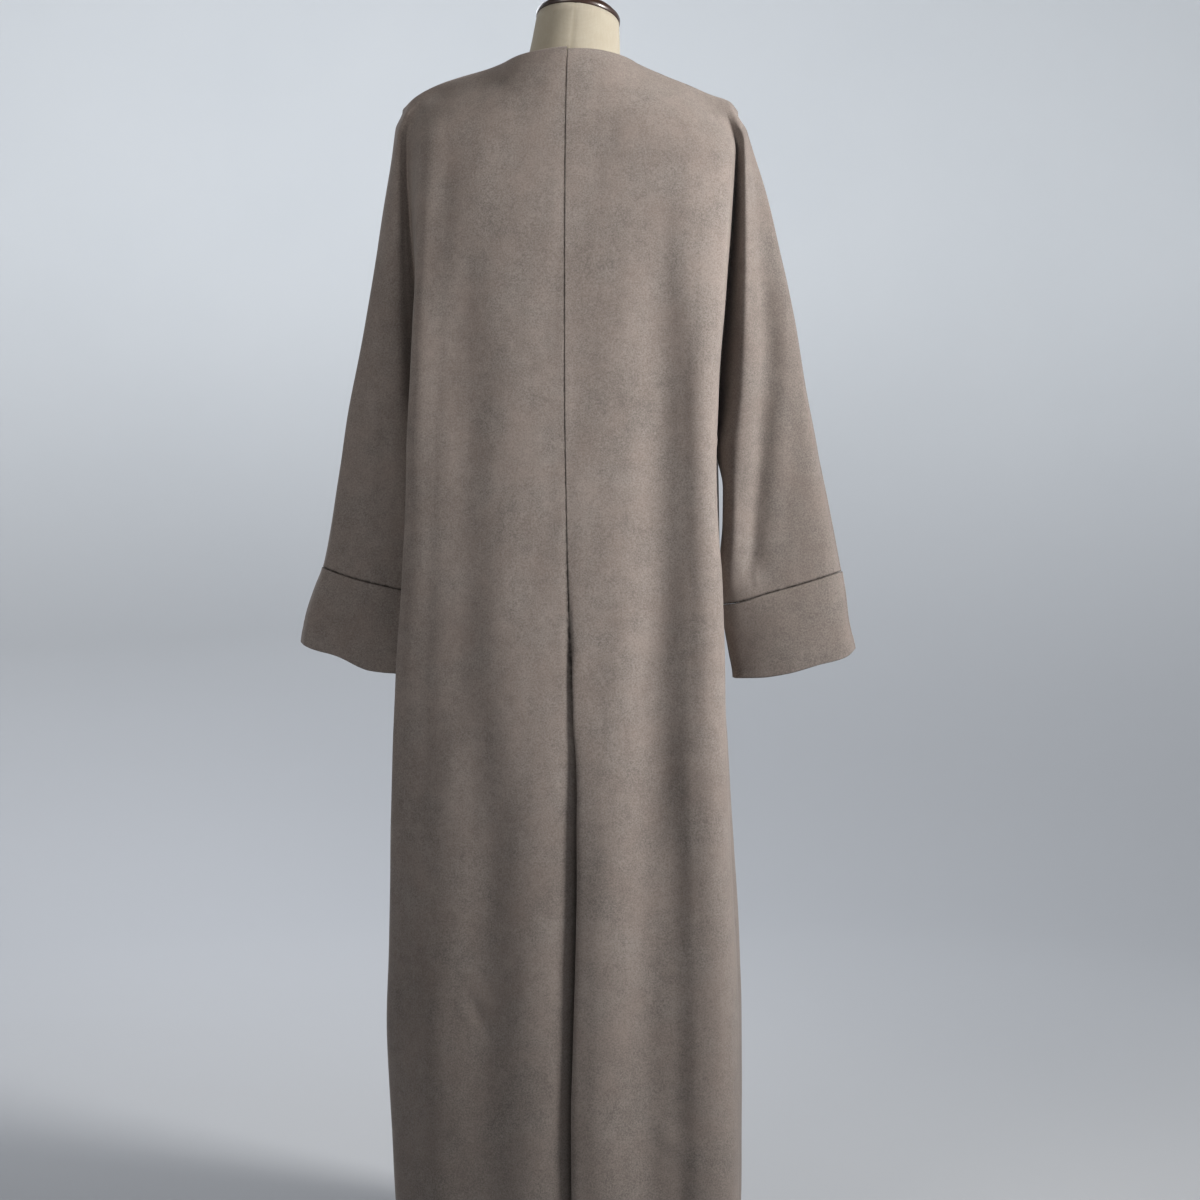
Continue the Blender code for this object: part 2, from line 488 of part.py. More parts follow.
    def edge_height(self, rows, place):
        """Height of the cuff's seam or hem at a place, from its table by the share across."""
        height = rows[len(rows) // 2][1]
        for _ in range(EDGE_PASSES):
            inner, outer = eased(self.seams, height, 3), eased(self.seams, height, 5)
            share = (self.section(place, height, "sleeve")[0] - inner) / (outer - inner)
            height = eased(rows, min(max(share, 0.0), 1.0), 1)
        return height

    def leg_point(self, place, height, leg):
        """A point below the underarm level."""
        x, y = self.section(place, height, leg)
        return (self.mirror * x, y, height)


def panel_sheet(face, side):
    """Points and faces of a panel's middle surface, and its edge points by name."""
    panel = Panel(face, side)
    points, faces = [], []
    valley = COLUMNS.index(AT_VALLEY)
    rows = []
    for row in range(UPPER_ROWS + 1):
        line = []
        for place in COLUMNS:
            line.append(len(points))
            points.append(panel.upper_point(place, row / UPPER_ROWS))
        rows.append(line)
    body = [rows[-1][:valley + 1]]
    for row in range(1, BODY_ROWS + 1):
        height = UNDERARM_HEIGHT + (HEM_HEIGHT - UNDERARM_HEIGHT) * row / BODY_ROWS
        line = []
        for place in COLUMNS[:valley + 1]:
            line.append(len(points))
            points.append(panel.leg_point(place, height, "body"))
        body.append(line)
    sleeve = [rows[-1][valley:]]
    for row in range(1, SLEEVE_ROWS + 1):
        line = []
        for place in COLUMNS[valley:]:
            end = panel.edge_height(CUFF_SEAM[side], place)
            height = UNDERARM_HEIGHT + (end - UNDERARM_HEIGHT) * row / SLEEVE_ROWS
            line.append(len(points))
            points.append(panel.leg_point(place, height, "sleeve"))
        sleeve.append(line)
    for grid in (rows, body, sleeve):
        for upper, lower in zip(grid, grid[1:]):
            for a, b, c, d in zip(upper, upper[1:], lower[1:], lower):
                faces.append((a, b, c, d))
    if (face == "back") != (side == "left"):
        faces = [tuple(reversed(each)) for each in faces]
    seams = {}
    add_pull(seams, rows[0][COLUMNS.index(AT_NECK_POINT):], rows[1][COLUMNS.index(AT_NECK_POINT):])
    add_pull(seams, [line[-1] for line in rows + sleeve[1:]], [line[-2] for line in rows + sleeve[1:]])
    add_pull(seams, [line[-1] for line in body[1:]], [line[-2] for line in body[1:]])
    add_pull(seams, [line[0] for line in sleeve[1:]], [line[1] for line in sleeve[1:]])
    add_pull(seams, [body[0][-1]] * 3, [rows[-2][valley], body[0][-2], sleeve[0][1]])
    add_pull(seams, sleeve[-1], sleeve[-2])
    if face == "back":
        add_pull(seams, [line[0] for line in rows + body[1:]], [line[1] for line in rows + body[1:]])
    return np.array(points), faces, seams


def add_pull(seams, edge, inside):
    """Note for each edge point the inner points it is drawn back towards."""
    for point, inner in zip(edge, inside):
        seams.setdefault(point, []).append(inner)


def cuff_sheet(side):
    """Points and faces of a cuff's middle surface, a sloping band closed round the sleeve."""
    halves = (Panel("back", side), Panel("front", side))
    around = [(halves[0], place) for place in COLUMNS if place >= AT_VALLEY]
    around += [(halves[1], place) for place in reversed(COLUMNS) if AT_VALLEY < place < 1.0]
    points, faces = [], []
    for row in range(CUFF_ROWS + 1):
        share = row / CUFF_ROWS
        for panel, place in around:
            start = panel.edge_height(CUFF_SEAM[side], place)
            end = panel.edge_height(CUFF_HEM[side], place)
            points.append(panel.leg_point(place, start + (end - start) * share, "sleeve"))
    count = len(around)
    for row in range(CUFF_ROWS):
        for i in range(count):
            j = (i + 1) % count
            faces.append((row * count + i, row * count + j, (row + 1) * count + j, (row + 1) * count + i))
    if side == "right":
        faces = [tuple(reversed(each)) for each in faces]
    seams = {}
    add_pull(seams, range(count), range(count, 2 * count))
    return np.array(points), faces, seams


def face_normals_summed(points, faces):
    """Sum of the face normals at each point, weighted by area."""
    total = np.zeros_like(points)
    for each in faces:
        a, b, c, d = (points[i] for i in each)
        normal = np.cross(c - a, d - b)
        for i in each:
            total[i] += normal
    return total


def shared_normals(sheets):
    """Unit normals for several sheets, the same where sheets meet at a seam."""
    totals = {}
    keys = []
    for points, faces, _ in sheets:
        sums = face_normals_summed(points, faces)
        own = [tuple(np.round(point, 5)) for point in points]
        keys.append(own)
        for key, value in zip(own, sums):
            totals[key] = totals.get(key, 0) + value
    return [np.array([totals[key] / np.linalg.norm(totals[key]) for key in own]) for own in keys]


def drawn_back(points, seams, distance):
    """The sheet with its seam edges drawn back from the seam by a distance."""
    moved = points.copy()
    for point, inner in seams.items():
        for other in inner:
            way = points[other] - points[point]
            moved[point] += distance * way / np.linalg.norm(way)
    return moved


def add_shell(name, sheet, normals, wall, seam_gap, material):
    """A closed wall on a sheet, half its thickness to each side."""
    points, faces, seams = sheet
    middle = drawn_back(points, seams, seam_gap)
    outer = middle + normals * wall / 2
    inner = middle - normals * wall / 2
    mesh = bmesh.new()
    outside = [mesh.verts.new(point) for point in outer]
    inside = [mesh.verts.new(point) for point in inner]
    used = {}
    for each in faces:
        mesh.faces.new([outside[i] for i in each])
        mesh.faces.new([inside[i] for i in reversed(each)])
        for a, b in zip(each, each[1:] + each[:1]):
            used[(a, b)] = True
    for a, b in used:
        if (b, a) not in used:
            mesh.faces.new((outside[b], outside[a], inside[a], inside[b]))
    finish(mesh, name, material)


def finish(mesh, name, material):
    """Link a finished mesh as one object with its material."""
    bmesh.ops.recalc_face_normals(mesh, faces=mesh.faces)
    data = bpy.data.meshes.new(name)
    mesh.to_mesh(data)
    mesh.free()
    part = bpy.data.objects.new(name, data)
    bpy.context.collection.objects.link(part)
    data.materials.append(material)


def add_rings(name, rings, material):
    """A closed solid lofted through rings of points, with flat ends."""
    mesh = bmesh.new()
    lines = [[mesh.verts.new(point) for point in ring] for ring in rings]
    count = len(lines[0])
    for lower, upper in zip(lines, lines[1:]):
        for i in range(count):
            j = (i + 1) % count
            mesh.faces.new((lower[i], lower[j], upper[j], upper[i]))
    mesh.faces.new(list(reversed(lines[0])))
    mesh.faces.new(lines[-1])
    finish(mesh, name, material)


def neck_place(height):
    """Shift of the leaning neck's middle at a height."""
    above = max(height - NECK_LEAN_START, 0.0)
    return (-above * math.tan(NECK_LEAN_RIGHT), -above * math.tan(NECK_LEAN_FORWARD))


def torso_rings():
    """Rings of the torso and neck; the last is the tilted neck top."""
    rings = []
    for height, half_width, back_y, front_y in TORSO_RINGS:
        shift_x, shift_y = neck_place(height)
        ring = []
        for i in range(TORSO_SIDES):
            turn = 2 * math.pi * i / TORSO_SIDES
            depth = back_y if math.sin(turn) > 0 else -front_y
            ring.append((half_width * math.cos(turn) + shift_x, depth * math.sin(turn) + shift_y, height))
        rings.append(ring)
    rings.append(tilted_ring(NECK_TOP_RADIUS, 0.0, TORSO_SIDES))
    return rings


def tilted_ring(radius, lift, sides):
    """A ring square to the leaning neck's axis, lifted along it above the neck's top."""
    shift_x, shift_y = neck_place(NECK_TOP_HEIGHT)
    axis = np.array((-math.tan(NECK_LEAN_RIGHT), -math.tan(NECK_LEAN_FORWARD), 1.0))
    axis /= np.linalg.norm(axis)
    across = np.cross((0.0, 1.0, 0.0), axis)
    across /= np.linalg.norm(across)
    along = np.cross(axis, across)
    middle = np.array((shift_x, shift_y, NECK_TOP_HEIGHT)) + axis * lift
    ring = []
    for i in range(sides):
        turn = 2 * math.pi * i / sides
        ring.append(tuple(middle + radius * (across * math.cos(turn) + along * math.sin(turn))))
    return ring


def cap_rings():
    """Rings of the low domed neck cap."""
    rings = [tilted_ring(CAP_RADIUS, PART_GAP, TORSO_SIDES),
             tilted_ring(CAP_RADIUS, PART_GAP + CAP_BAND - CAP_ROUNDING, TORSO_SIDES),
             tilted_ring(CAP_RADIUS - CAP_EDGE_TURN, PART_GAP + CAP_BAND - CAP_EDGE_TURN, TORSO_SIDES)]
    for i in range(CAP_DOME_STEPS):
        share = i / CAP_DOME_STEPS
        radius = (CAP_RADIUS - CAP_ROUNDING) * math.cos(0.5 * math.pi * share)
        rings.append(tilted_ring(radius, PART_GAP + CAP_BAND + CAP_DOME * math.sin(0.5 * math.pi * share),
                                 TORSO_SIDES))
    return rings


def turned_rings(profile):
    """Rings round the stand's upright axis from a profile of radius and height."""
    rings = []
    for radius, height in profile:
        ring = []
        for i in range(TURNED_SIDES):
            turn = 2 * math.pi * i / TURNED_SIDES
            ring.append((radius * math.cos(turn), radius * math.sin(turn), height))
        rings.append(ring)
    return rings


def new_material(name, finish_values):
    """A plain material from red, green, blue, roughness and metallic."""
    material = bpy.data.materials.new(name)
    material.use_nodes = True
    shader = material.node_tree.nodes["Principled BSDF"]
    shader.inputs["Base Color"].default_value = (*finish_values[:3], 1.0)
    shader.inputs["Roughness"].default_value = finish_values[3]
    shader.inputs["Metallic"].default_value = finish_values[4]
    material.diffuse_color = (*finish_values[:3], 1.0)
    return material


def main():
    """Build every piece."""
    for existing in list(bpy.data.objects):
        bpy.data.objects.remove(existing)
    names = [(face, side) for face in ("back", "front") for side in ("left", "right")]
    sheets = [panel_sheet(face, side) for face, side in names]
    cuffs = [cuff_sheet(side) for side in ("left", "right")]
    normals = shared_normals(sheets + cuffs)
    for (face, side), sheet, own in zip(names, sheets, normals):
        name = face + "_" + side
        add_shell(name, sheet, own, CLOTH_WALL, SEAM_HALF_GAP, new_material(name, SUEDE))
    for side, sheet, own in zip(("left", "right"), cuffs, normals[len(sheets):]):
        name = "cuff_" + side
        add_shell(name, sheet, own, CUFF_WALL, CUFF_SEAM_GAP, new_material(name, SUEDE))
    add_rings("form_body", torso_rings(), new_material("form_body", LINEN))
    add_rings("neck_cap", cap_rings(), new_material("neck_cap", CAP_BROWN))
    collar_top = TORSO_RINGS[0][0] - PART_GAP
    pole_foot = BASE_HEIGHT + PART_GAP
    pole = ((POLE_COLLAR_RADIUS, pole_foot), (POLE_COLLAR_RADIUS, pole_foot + POLE_COLLAR_HEIGHT),
            (POLE_RADIUS, pole_foot + POLE_COLLAR_HEIGHT), (POLE_RADIUS, collar_top - POLE_COLLAR_HEIGHT),
            (POLE_COLLAR_RADIUS, collar_top - POLE_COLLAR_HEIGHT), (POLE_COLLAR_RADIUS, collar_top))
    add_rings("stand_pole", turned_rings(pole), new_material("stand_pole", STAND_GREY))
    base = ((BASE_RADIUS, 0.0), (BASE_RADIUS, BASE_HEIGHT - BASE_EDGE),
            (BASE_RADIUS - BASE_EDGE, BASE_HEIGHT))
    add_rings("stand_base", turned_rings(base), new_material("stand_base", STAND_GREY))


main()
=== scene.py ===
"""Full-length batwing abaya cloak hanging on a limbless linen dress form.

The cloak is four panels of brushed faux suede, a back and a front on each side, each cut in
one with its half of a sleeve, and two deep cuffs turned double. Every piece of cloth is a thin
shell on a curved sheet. A sheet is built of level rows: a row is a smooth curve through a few
named places whose distance from the middle and depth come from short tables by height.

Frame: metres, +Z up, the wearer's front faces -Y and the wearer's left is +X. The origin is
the centre of the stand's flat underside.
"""
import logging
import math
from dataclasses import dataclass, field
from enum import Enum
from typing import Sequence

import bmesh
import bpy
import numpy as np
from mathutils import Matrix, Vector


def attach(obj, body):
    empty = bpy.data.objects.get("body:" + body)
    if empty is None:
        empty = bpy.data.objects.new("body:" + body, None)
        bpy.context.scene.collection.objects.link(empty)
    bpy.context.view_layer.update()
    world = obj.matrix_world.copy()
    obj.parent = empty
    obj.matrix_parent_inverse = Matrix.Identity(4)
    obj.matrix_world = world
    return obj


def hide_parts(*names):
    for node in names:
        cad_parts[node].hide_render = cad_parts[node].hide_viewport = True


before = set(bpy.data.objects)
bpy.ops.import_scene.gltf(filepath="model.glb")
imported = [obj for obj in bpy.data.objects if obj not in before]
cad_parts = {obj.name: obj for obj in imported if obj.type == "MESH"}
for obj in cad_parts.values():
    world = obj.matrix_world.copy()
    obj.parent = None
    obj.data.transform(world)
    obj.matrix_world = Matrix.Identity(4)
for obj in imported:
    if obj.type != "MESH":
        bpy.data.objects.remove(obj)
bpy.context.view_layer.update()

LOG = logging.getLogger("abaya")
MM = 0.001
QUARTER_TURN = 0.5 * math.pi

Table = Sequence[Sequence[float]]
Value = float | tuple | bpy.types.NodeSocket


class Face(Enum):
    """Which face of the cloak a panel is."""

    BACK = "back"
    FRONT = "front"


class Side(Enum):
    """The wearer's side."""

    LEFT = "left"
    RIGHT = "right"


class Leg(Enum):
    """Which part of a row a place is read from."""

    WHOLE = "whole"
    BODY = "body"
    SLEEVE = "sleeve"


# ---- cloth -------------------------------------------------------------------------
CLOTH_WALL = 1.8 * MM
CUFF_WALL = 3.0 * MM
SEAM_HALF_GAP = 0.15 * MM
CUFF_SEAM_GAP = 0.30 * MM
SEAM_ROUNDING = 1.3 * MM       # how far from a seam the cloth starts to roll into it
EDGE_ROUNDING = 0.9 * MM       # the same at a turned edge
THINNEST = 0.10                # share of the wall that is left right at an edge
HEM_TURN = 25.0 * MM           # depth of the hem's and the front edges' turning
NECK_TURN = 9.0 * MM           # depth of the neckline's turning
TURN_OUTSIDE = 0.22 * MM       # how far a turning lifts the outside
TURN_INSIDE = 0.9 * MM         # and how much it thickens the inside
TURN_STEP = 2.0 * MM           # width of the step at a turning's inner edge
UNDERARM_HEIGHT = 1.040
HEM_HEIGHT = 0.040
NECK_HALF_WIDTH = 0.085
NECK_BACK_Y = 0.068
NECK_FRONT_Y = -0.088
SHOULDER_SEAM_Y = -0.002
NECK_BACK_HEIGHT = 1.5095
NECK_FRONT_HEIGHT = 1.405
FRONT_EDGE_TOP = 0.004
FRONT_EDGE_HEM = 0.014

# ---- places along a row, 0 at the centre and 1 at the overarm seam --------------------
AT_NECK_POINT = 0.25
AT_UNDERTURN = 0.02
AT_LIP = 0.04
AT_FOLD = 0.5
AT_VALLEY = 0.6
AT_ROUNDING = 0.64
AT_RIDGE = 0.7
AT_MIDDLE = 0.85
AT_TURN = 0.95
BODY_PLACES = (0.0, AT_UNDERTURN, AT_LIP, 0.1, 0.2, 0.3, 0.4, AT_FOLD, AT_VALLEY)
SLEEVE_PLACES = (AT_VALLEY, AT_ROUNDING, AT_RIDGE, AT_MIDDLE, AT_TURN, 1.0)
# how square the back and front are seen from above
BODY_ROUNDNESS = {("back", "left"): 2.6, ("back", "right"): 5.0,
                  ("front", "left"): 2.6, ("front", "right"): 2.6}
DROP_CROWDING = 1.45           # how much closer the rows lie towards the shoulder
NECK_SCOOP = 1.6               # how long the front neckline stays low
NECK_BEND = 1.5                # how early the back neckline bends forward to the neck point
EDGE_PASSES = 4                # times that an edge's height is worked out anew

# ---- columns and rows of a sheet: close beside the seams, even between -----------------
SEAM_PLACES = (0.0, 0.0008, 0.0018, 0.0032, 0.0053, 0.0084)
VALLEY_PLACES = (0.5965, 0.598, 0.599, 0.5996, AT_VALLEY, 0.6005, 0.6013, 0.6024, 0.6042)
OVERARM_PLACES = (0.9935, 0.9962, 0.998, 0.9992, 1.0)
# runs of even columns on the body and on the sleeve: start, end, step
BODY_RUNS = ((0.0120, 0.060, 0.0022), (0.060, AT_NECK_POINT, 0.0068), (AT_NECK_POINT, AT_FOLD, 0.0068),
             (AT_FOLD, VALLEY_PLACES[0], 0.0040))
SLEEVE_RUNS = ((0.6075, AT_RIDGE, 0.0042), (AT_RIDGE, AT_TURN, 0.0075),
               (AT_TURN, OVERARM_PLACES[0], 0.0040))
# rows below the shoulder seam, as shares of the way down to the underarm
UPPER_SHARES = (0.0, 7e-5, 2.5e-4, 6e-4, 1.4e-3, 3e-3, 5.5e-3, 9e-3, 0.0135, 0.019, 0.0255, 0.034)
UPPER_EVEN_START = 0.044
SEAM_STEPS = np.array([6.0, 3.6, 2.2, 1.3, 0.7, 0.3, 0.0]) * MM
HEM_STEPS = np.array([27.0, 25.5, 24.0, 20.0, 14.0, 9.0, 5.0, 2.6, 1.2, 0.6, 0.25, 0.0]) * MM
EVEN_ROWS_END = 4.0 * MM       # how far above the close rows the even ones end
CUFF_SHARES = np.array([0.0, 0.003, 0.008, 0.015, 0.025, 0.038, 0.06])
CUFF_EVEN_ROWS = (0.09, 0.91, 22)
PLACE_SLACK = 1e-9             # keeps a place on its own side of a mark
FAR = 1.0                      # a distance longer than any at which an edge shows
FRONT_COARSENESS = 1.3         # the front's steps are this much wider than the back's

# ---- shoulder seams: distance from the centre, height --------------------------------
SHOULDER = {
    "left": ((0.085, 1.5085), (0.102, 1.5030), (0.162, 1.4875), (0.195, 1.4722), (0.2140, 1.4555)),
    "right": ((0.085, 1.5025), (0.0985, 1.4975), (0.1413, 1.4808), (0.1737, 1.4675),
              (0.1955, 1.4590), (0.2055, 1.4475)),
}
# where a column leaves the shoulder seam: place along the row, share of the seam's run
SHOULDER_SHARE = ((0.25, 0.0), (0.5, 0.69), (0.6, 0.83), (0.7, 0.91), (0.85, 0.96), (1.0, 1.0))
# how far below its top edge a column has reached its section: place, drop
SHOULDER_DROP = ((0.0, 0.11), (0.25, 0.12), (0.5, 0.10), (0.6, 0.07), (0.85, 0.04), (1.0, 0.025))

# ---- centre back: height, seam_x, body_y, fold_depth ---------------------------------
CENTRE_BACK = (
    (1.510, 0.0020, 0.090, 0.0),
    (1.380, 0.0025, 0.103, 0.0),
    (1.250, 0.0030, 0.108, 0.0),
    (1.100, 0.0030, 0.108, 0.0),
    (0.960, 0.0006, 0.114, 0.0),
    (0.860, -0.0018, 0.119, 0.0014),
    (0.800, -0.0040, 0.122, 0.0036),
    (0.750, -0.0082, 0.124, 0.0068),
    (0.700, -0.0150, 0.127, 0.0112),
    (0.655, -0.0198, 0.129, 0.0156),
    (0.600, -0.0214, 0.132, 0.0212),
    (0.530, -0.0212, 0.134, 0.0250),
    (0.340, -0.0182, 0.141, 0.0270),
    (0.240, -0.0158, 0.145, 0.0270),
    (0.040, -0.0175, 0.151, 0.0260),
)
# how the right panel turns over the seam: fold depth, then past the seam and the share of
# the depth still to rise, at its underturn and at its lip
CENTRE_TURN = (
    (0.0000, 0.0070, 0.60, 0.0140, 0.30),
    (0.0020, 0.0032, 0.62, 0.0070, 0.24),
    (0.0045, 0.0027, 0.58, 0.0038, 0.16),
    (0.0075, 0.0034, 0.62, -0.0008, 0.12),
    (0.0140, 0.0050, 0.69, -0.0070, 0.12),
    (0.0300, 0.0050, 0.69, -0.0070, 0.12),
)
LEFT_DIP = (1.0, 0.56, 0.38, 0.14)   # share of the fold's depth at the left panel's first places

# ---- centre front: height, body_y ------------------------------------------------------
CENTRE_FRONT = ((1.405, -0.100), (1.300, -0.118), (1.240, -0.124), (1.100, -0.121), (0.900, -0.122),
                (0.600, -0.131), (0.300, -0.141), (0.040, -0.148))

# ---- seams by side: height, side_x, side_y, inner_x, inner_y, outer_x, outer_y ---------
SEAMS = {
    "left": (
        (1.4555, 0.178, 0.000, 0.178, 0.000, 0.2137, -0.002),
        (1.4480, 0.178, 0.000, 0.178, 0.000, 0.2175, -0.002),
        (1.3880, 0.178, 0.000, 0.178, 0.000, 0.2252, -0.001),
        (1.3090, 0.178, 0.000, 0.178, 0.000, 0.2390, 0.000),
        (1.1800, 0.178, 0.000, 0.178, 0.000, 0.2600, 0.000),
        (1.0680, 0.178, 0.000, 0.178, 0.000, 0.2834, -0.002),
        (1.0400, 0.178, 0.000, 0.178, 0.000, 0.2882, -0.003),
        (1.0150, 0.1690, -0.003, 0.1800, -0.003, 0.2922, -0.004),
        (0.9800, 0.1655, -0.006, 0.1795, -0.006, 0.2980, -0.005),
        (0.9280, 0.1640, -0.008, 0.1775, -0.008, 0.3063, -0.006),
        (0.8815, 0.1630, -0.010, 0.1760, -0.010, 0.3164, -0.008),
        (0.8540, 0.1625, -0.010, 0.1755, -0.011, 0.3270, -0.009),
        (0.8200, 0.1625, -0.010, 0.1760, -0.011, 0.3380, -0.010),
        (0.7850, 0.1620, -0.012, 0.1780, -0.013, 0.3445, -0.010),
        (0.7400, 0.1630, -0.013, 0.1800, -0.014, 0.3470, -0.010),
        (0.6800, 0.1780, -0.009, 0.0, 0.0, 0.0, 0.0),
        (0.6000, 0.2030, -0.006, 0.0, 0.0, 0.0, 0.0),
        (0.4500, 0.2200, -0.005, 0.0, 0.0, 0.0, 0.0),
        (0.3200, 0.2270, -0.005, 0.0, 0.0, 0.0, 0.0),
        (0.1800, 0.2210, -0.005, 0.0, 0.0, 0.0, 0.0),
        (0.0400, 0.2130, -0.005, 0.0, 0.0, 0.0, 0.0),
    ),
    "right": (
        (1.4475, 0.176, 0.000, 0.176, 0.000, 0.2050, -0.002),
        (1.4360, 0.176, 0.000, 0.176, 0.000, 0.2105, -0.002),
        (1.3880, 0.176, 0.000, 0.176, 0.000, 0.2258, -0.001),
        (1.3235, 0.176, 0.000, 0.176, 0.000, 0.2450, 0.000),
        (1.2675, 0.176, 0.000, 0.176, 0.000, 0.2580, 0.000),
        (1.1900, 0.176, 0.000, 0.176, 0.000, 0.2754, 0.000),
        (1.1000, 0.176, 0.000, 0.176, 0.000, 0.2902, -0.001),
        (1.0400, 0.176, 0.000, 0.176, 0.000, 0.3020, -0.003),
        (1.0150, 0.1680, -0.003, 0.1810, -0.003, 0.3065, -0.004),
        (0.9800, 0.1650, -0.006, 0.1880, -0.006, 0.3140, -0.005),
        (0.9350, 0.1640, -0.008, 0.1875, -0.008, 0.3230, -0.006),
        (0.8870, 0.1630, -0.010, 0.1840, -0.010, 0.3322, -0.008),
        (0.8540, 0.1625, -0.010, 0.1840, -0.011, 0.3385, -0.009),
        (0.8150, 0.1625, -0.010, 0.1890, -0.011, 0.3430, -0.010),
        (0.7730, 0.1640, -0.010, 0.1960, -0.011, 0.3520, -0.010),
        (0.7400, 0.1680, -0.010, 0.2010, -0.011, 0.3540, -0.010),
        (0.6800, 0.1780, -0.005, 0.0, 0.0, 0.0, 0.0),
        (0.6000, 0.1870, 0.005, 0.0, 0.0, 0.0, 0.0),
        (0.4600, 0.1965, 0.022, 0.0, 0.0, 0.0, 0.0),
        (0.3300, 0.2035, 0.030, 0.0, 0.0, 0.0, 0.0),
        (0.1800, 0.2050, 0.030, 0.0, 0.0, 0.0, 0.0),
        (0.0400, 0.2000, 0.030, 0.0, 0.0, 0.0, 0.0),
    ),
}

# ---- back folds: height, fold_x, fold_y, valley_x, valley_y, ridge_x, ridge_y,
#      middle_x, middle_y. Below the underarm the valley columns are not used. ----------
BACK_FOLDS = {
    "left": (
        (1.470, 0.1700, 0.040, 0.1930, 0.030, 0.2030, 0.024, 0.2080, 0.012),
        (1.440, 0.1780, 0.060, 0.2020, 0.038, 0.2090, 0.036, 0.2150, 0.022),
        (1.380, 0.1775, 0.077, 0.2020, 0.040, 0.2120, 0.046, 0.2210, 0.034),
        (1.310, 0.1800, 0.081, 0.1990, 0.036, 0.2120, 0.048, 0.2260, 0.040),
        (1.240, 0.1820, 0.083, 0.1935, 0.028, 0.2130, 0.046, 0.2330, 0.041),
        (1.180, 0.1870, 0.083, 0.1890, 0.020, 0.2130, 0.043, 0.2380, 0.040),
        (1.110, 0.1905, 0.082, 0.1830, 0.009, 0.2120, 0.039, 0.2430, 0.037),
        (1.040, 0.1945, 0.080, 0.1780, 0.000, 0.2110, 0.035, 0.2480, 0.035),
        (0.980, 0.1965, 0.078, 0.0, 0.0, 0.2090, 0.030, 0.2510, 0.033),
        (0.860, 0.2028, 0.076, 0.0, 0.0, 0.2030, 0.020, 0.2530, 0.026),
        (0.740, 0.2105, 0.072, 0.0, 0.0, 0.2030, 0.018, 0.2600, 0.024),
        (0.620, 0.2155, 0.066, 0.0, 0.0, 0.0, 0.0, 0.0, 0.0),
        (0.420, 0.2180, 0.062, 0.0, 0.0, 0.0, 0.0, 0.0, 0.0),
        (0.320, 0.2203, 0.060, 0.0, 0.0, 0.0, 0.0, 0.0, 0.0),
        (0.180, 0.2140, 0.062, 0.0, 0.0, 0.0, 0.0, 0.0, 0.0),
        (0.040, 0.2065, 0.064, 0.0, 0.0, 0.0, 0.0, 0.0, 0.0),
    ),
    "right": (
        (1.470, 0.1760, 0.036, 0.1900, 0.030, 0.1990, 0.024, 0.2030, 0.012),
        (1.430, 0.1900, 0.060, 0.1990, 0.044, 0.2070, 0.044, 0.2120, 0.026),
        (1.395, 0.1960, 0.070, 0.2030, 0.042, 0.2130, 0.050, 0.2190, 0.034),
        (1.300, 0.1900, 0.079, 0.1990, 0.032, 0.2140, 0.054, 0.2290, 0.038),
        (1.190, 0.1824, 0.088, 0.1890, 0.018, 0.2130, 0.052, 0.2400, 0.034),
        (1.110, 0.1755, 0.092, 0.1820, 0.008, 0.2100, 0.048, 0.2480, 0.030),
        (1.040, 0.1723, 0.095, 0.1760, 0.000, 0.2050, 0.043, 0.2400, 0.030),
        (0.990, 0.1721, 0.097, 0.0, 0.0, 0.2010, 0.039, 0.2360, 0.030),
        (0.930, 0.1744, 0.099, 0.0, 0.0, 0.1985, 0.034, 0.2300, 0.028),
        (0.866, 0.1795, 0.101, 0.0, 0.0, 0.1955, 0.026, 0.2330, 0.024),
        (0.835, 0.1808, 0.102, 0.0, 0.0, 0.2010, 0.020, 0.2500, 0.024),
        (0.740, 0.1833, 0.105, 0.0, 0.0, 0.2200, 0.016, 0.2750, 0.022),
        (0.640, 0.1835, 0.107, 0.0, 0.0, 0.0, 0.0, 0.0, 0.0),
        (0.480, 0.1869, 0.111, 0.0, 0.0, 0.0, 0.0, 0.0, 0.0),
        (0.330, 0.1936, 0.114, 0.0, 0.0, 0.0, 0.0, 0.0, 0.0),
        (0.180, 0.1940, 0.117, 0.0, 0.0, 0.0, 0.0, 0.0, 0.0),
        (0.040, 0.1904, 0.120, 0.0, 0.0, 0.0, 0.0, 0.0, 0.0),
    ),
}

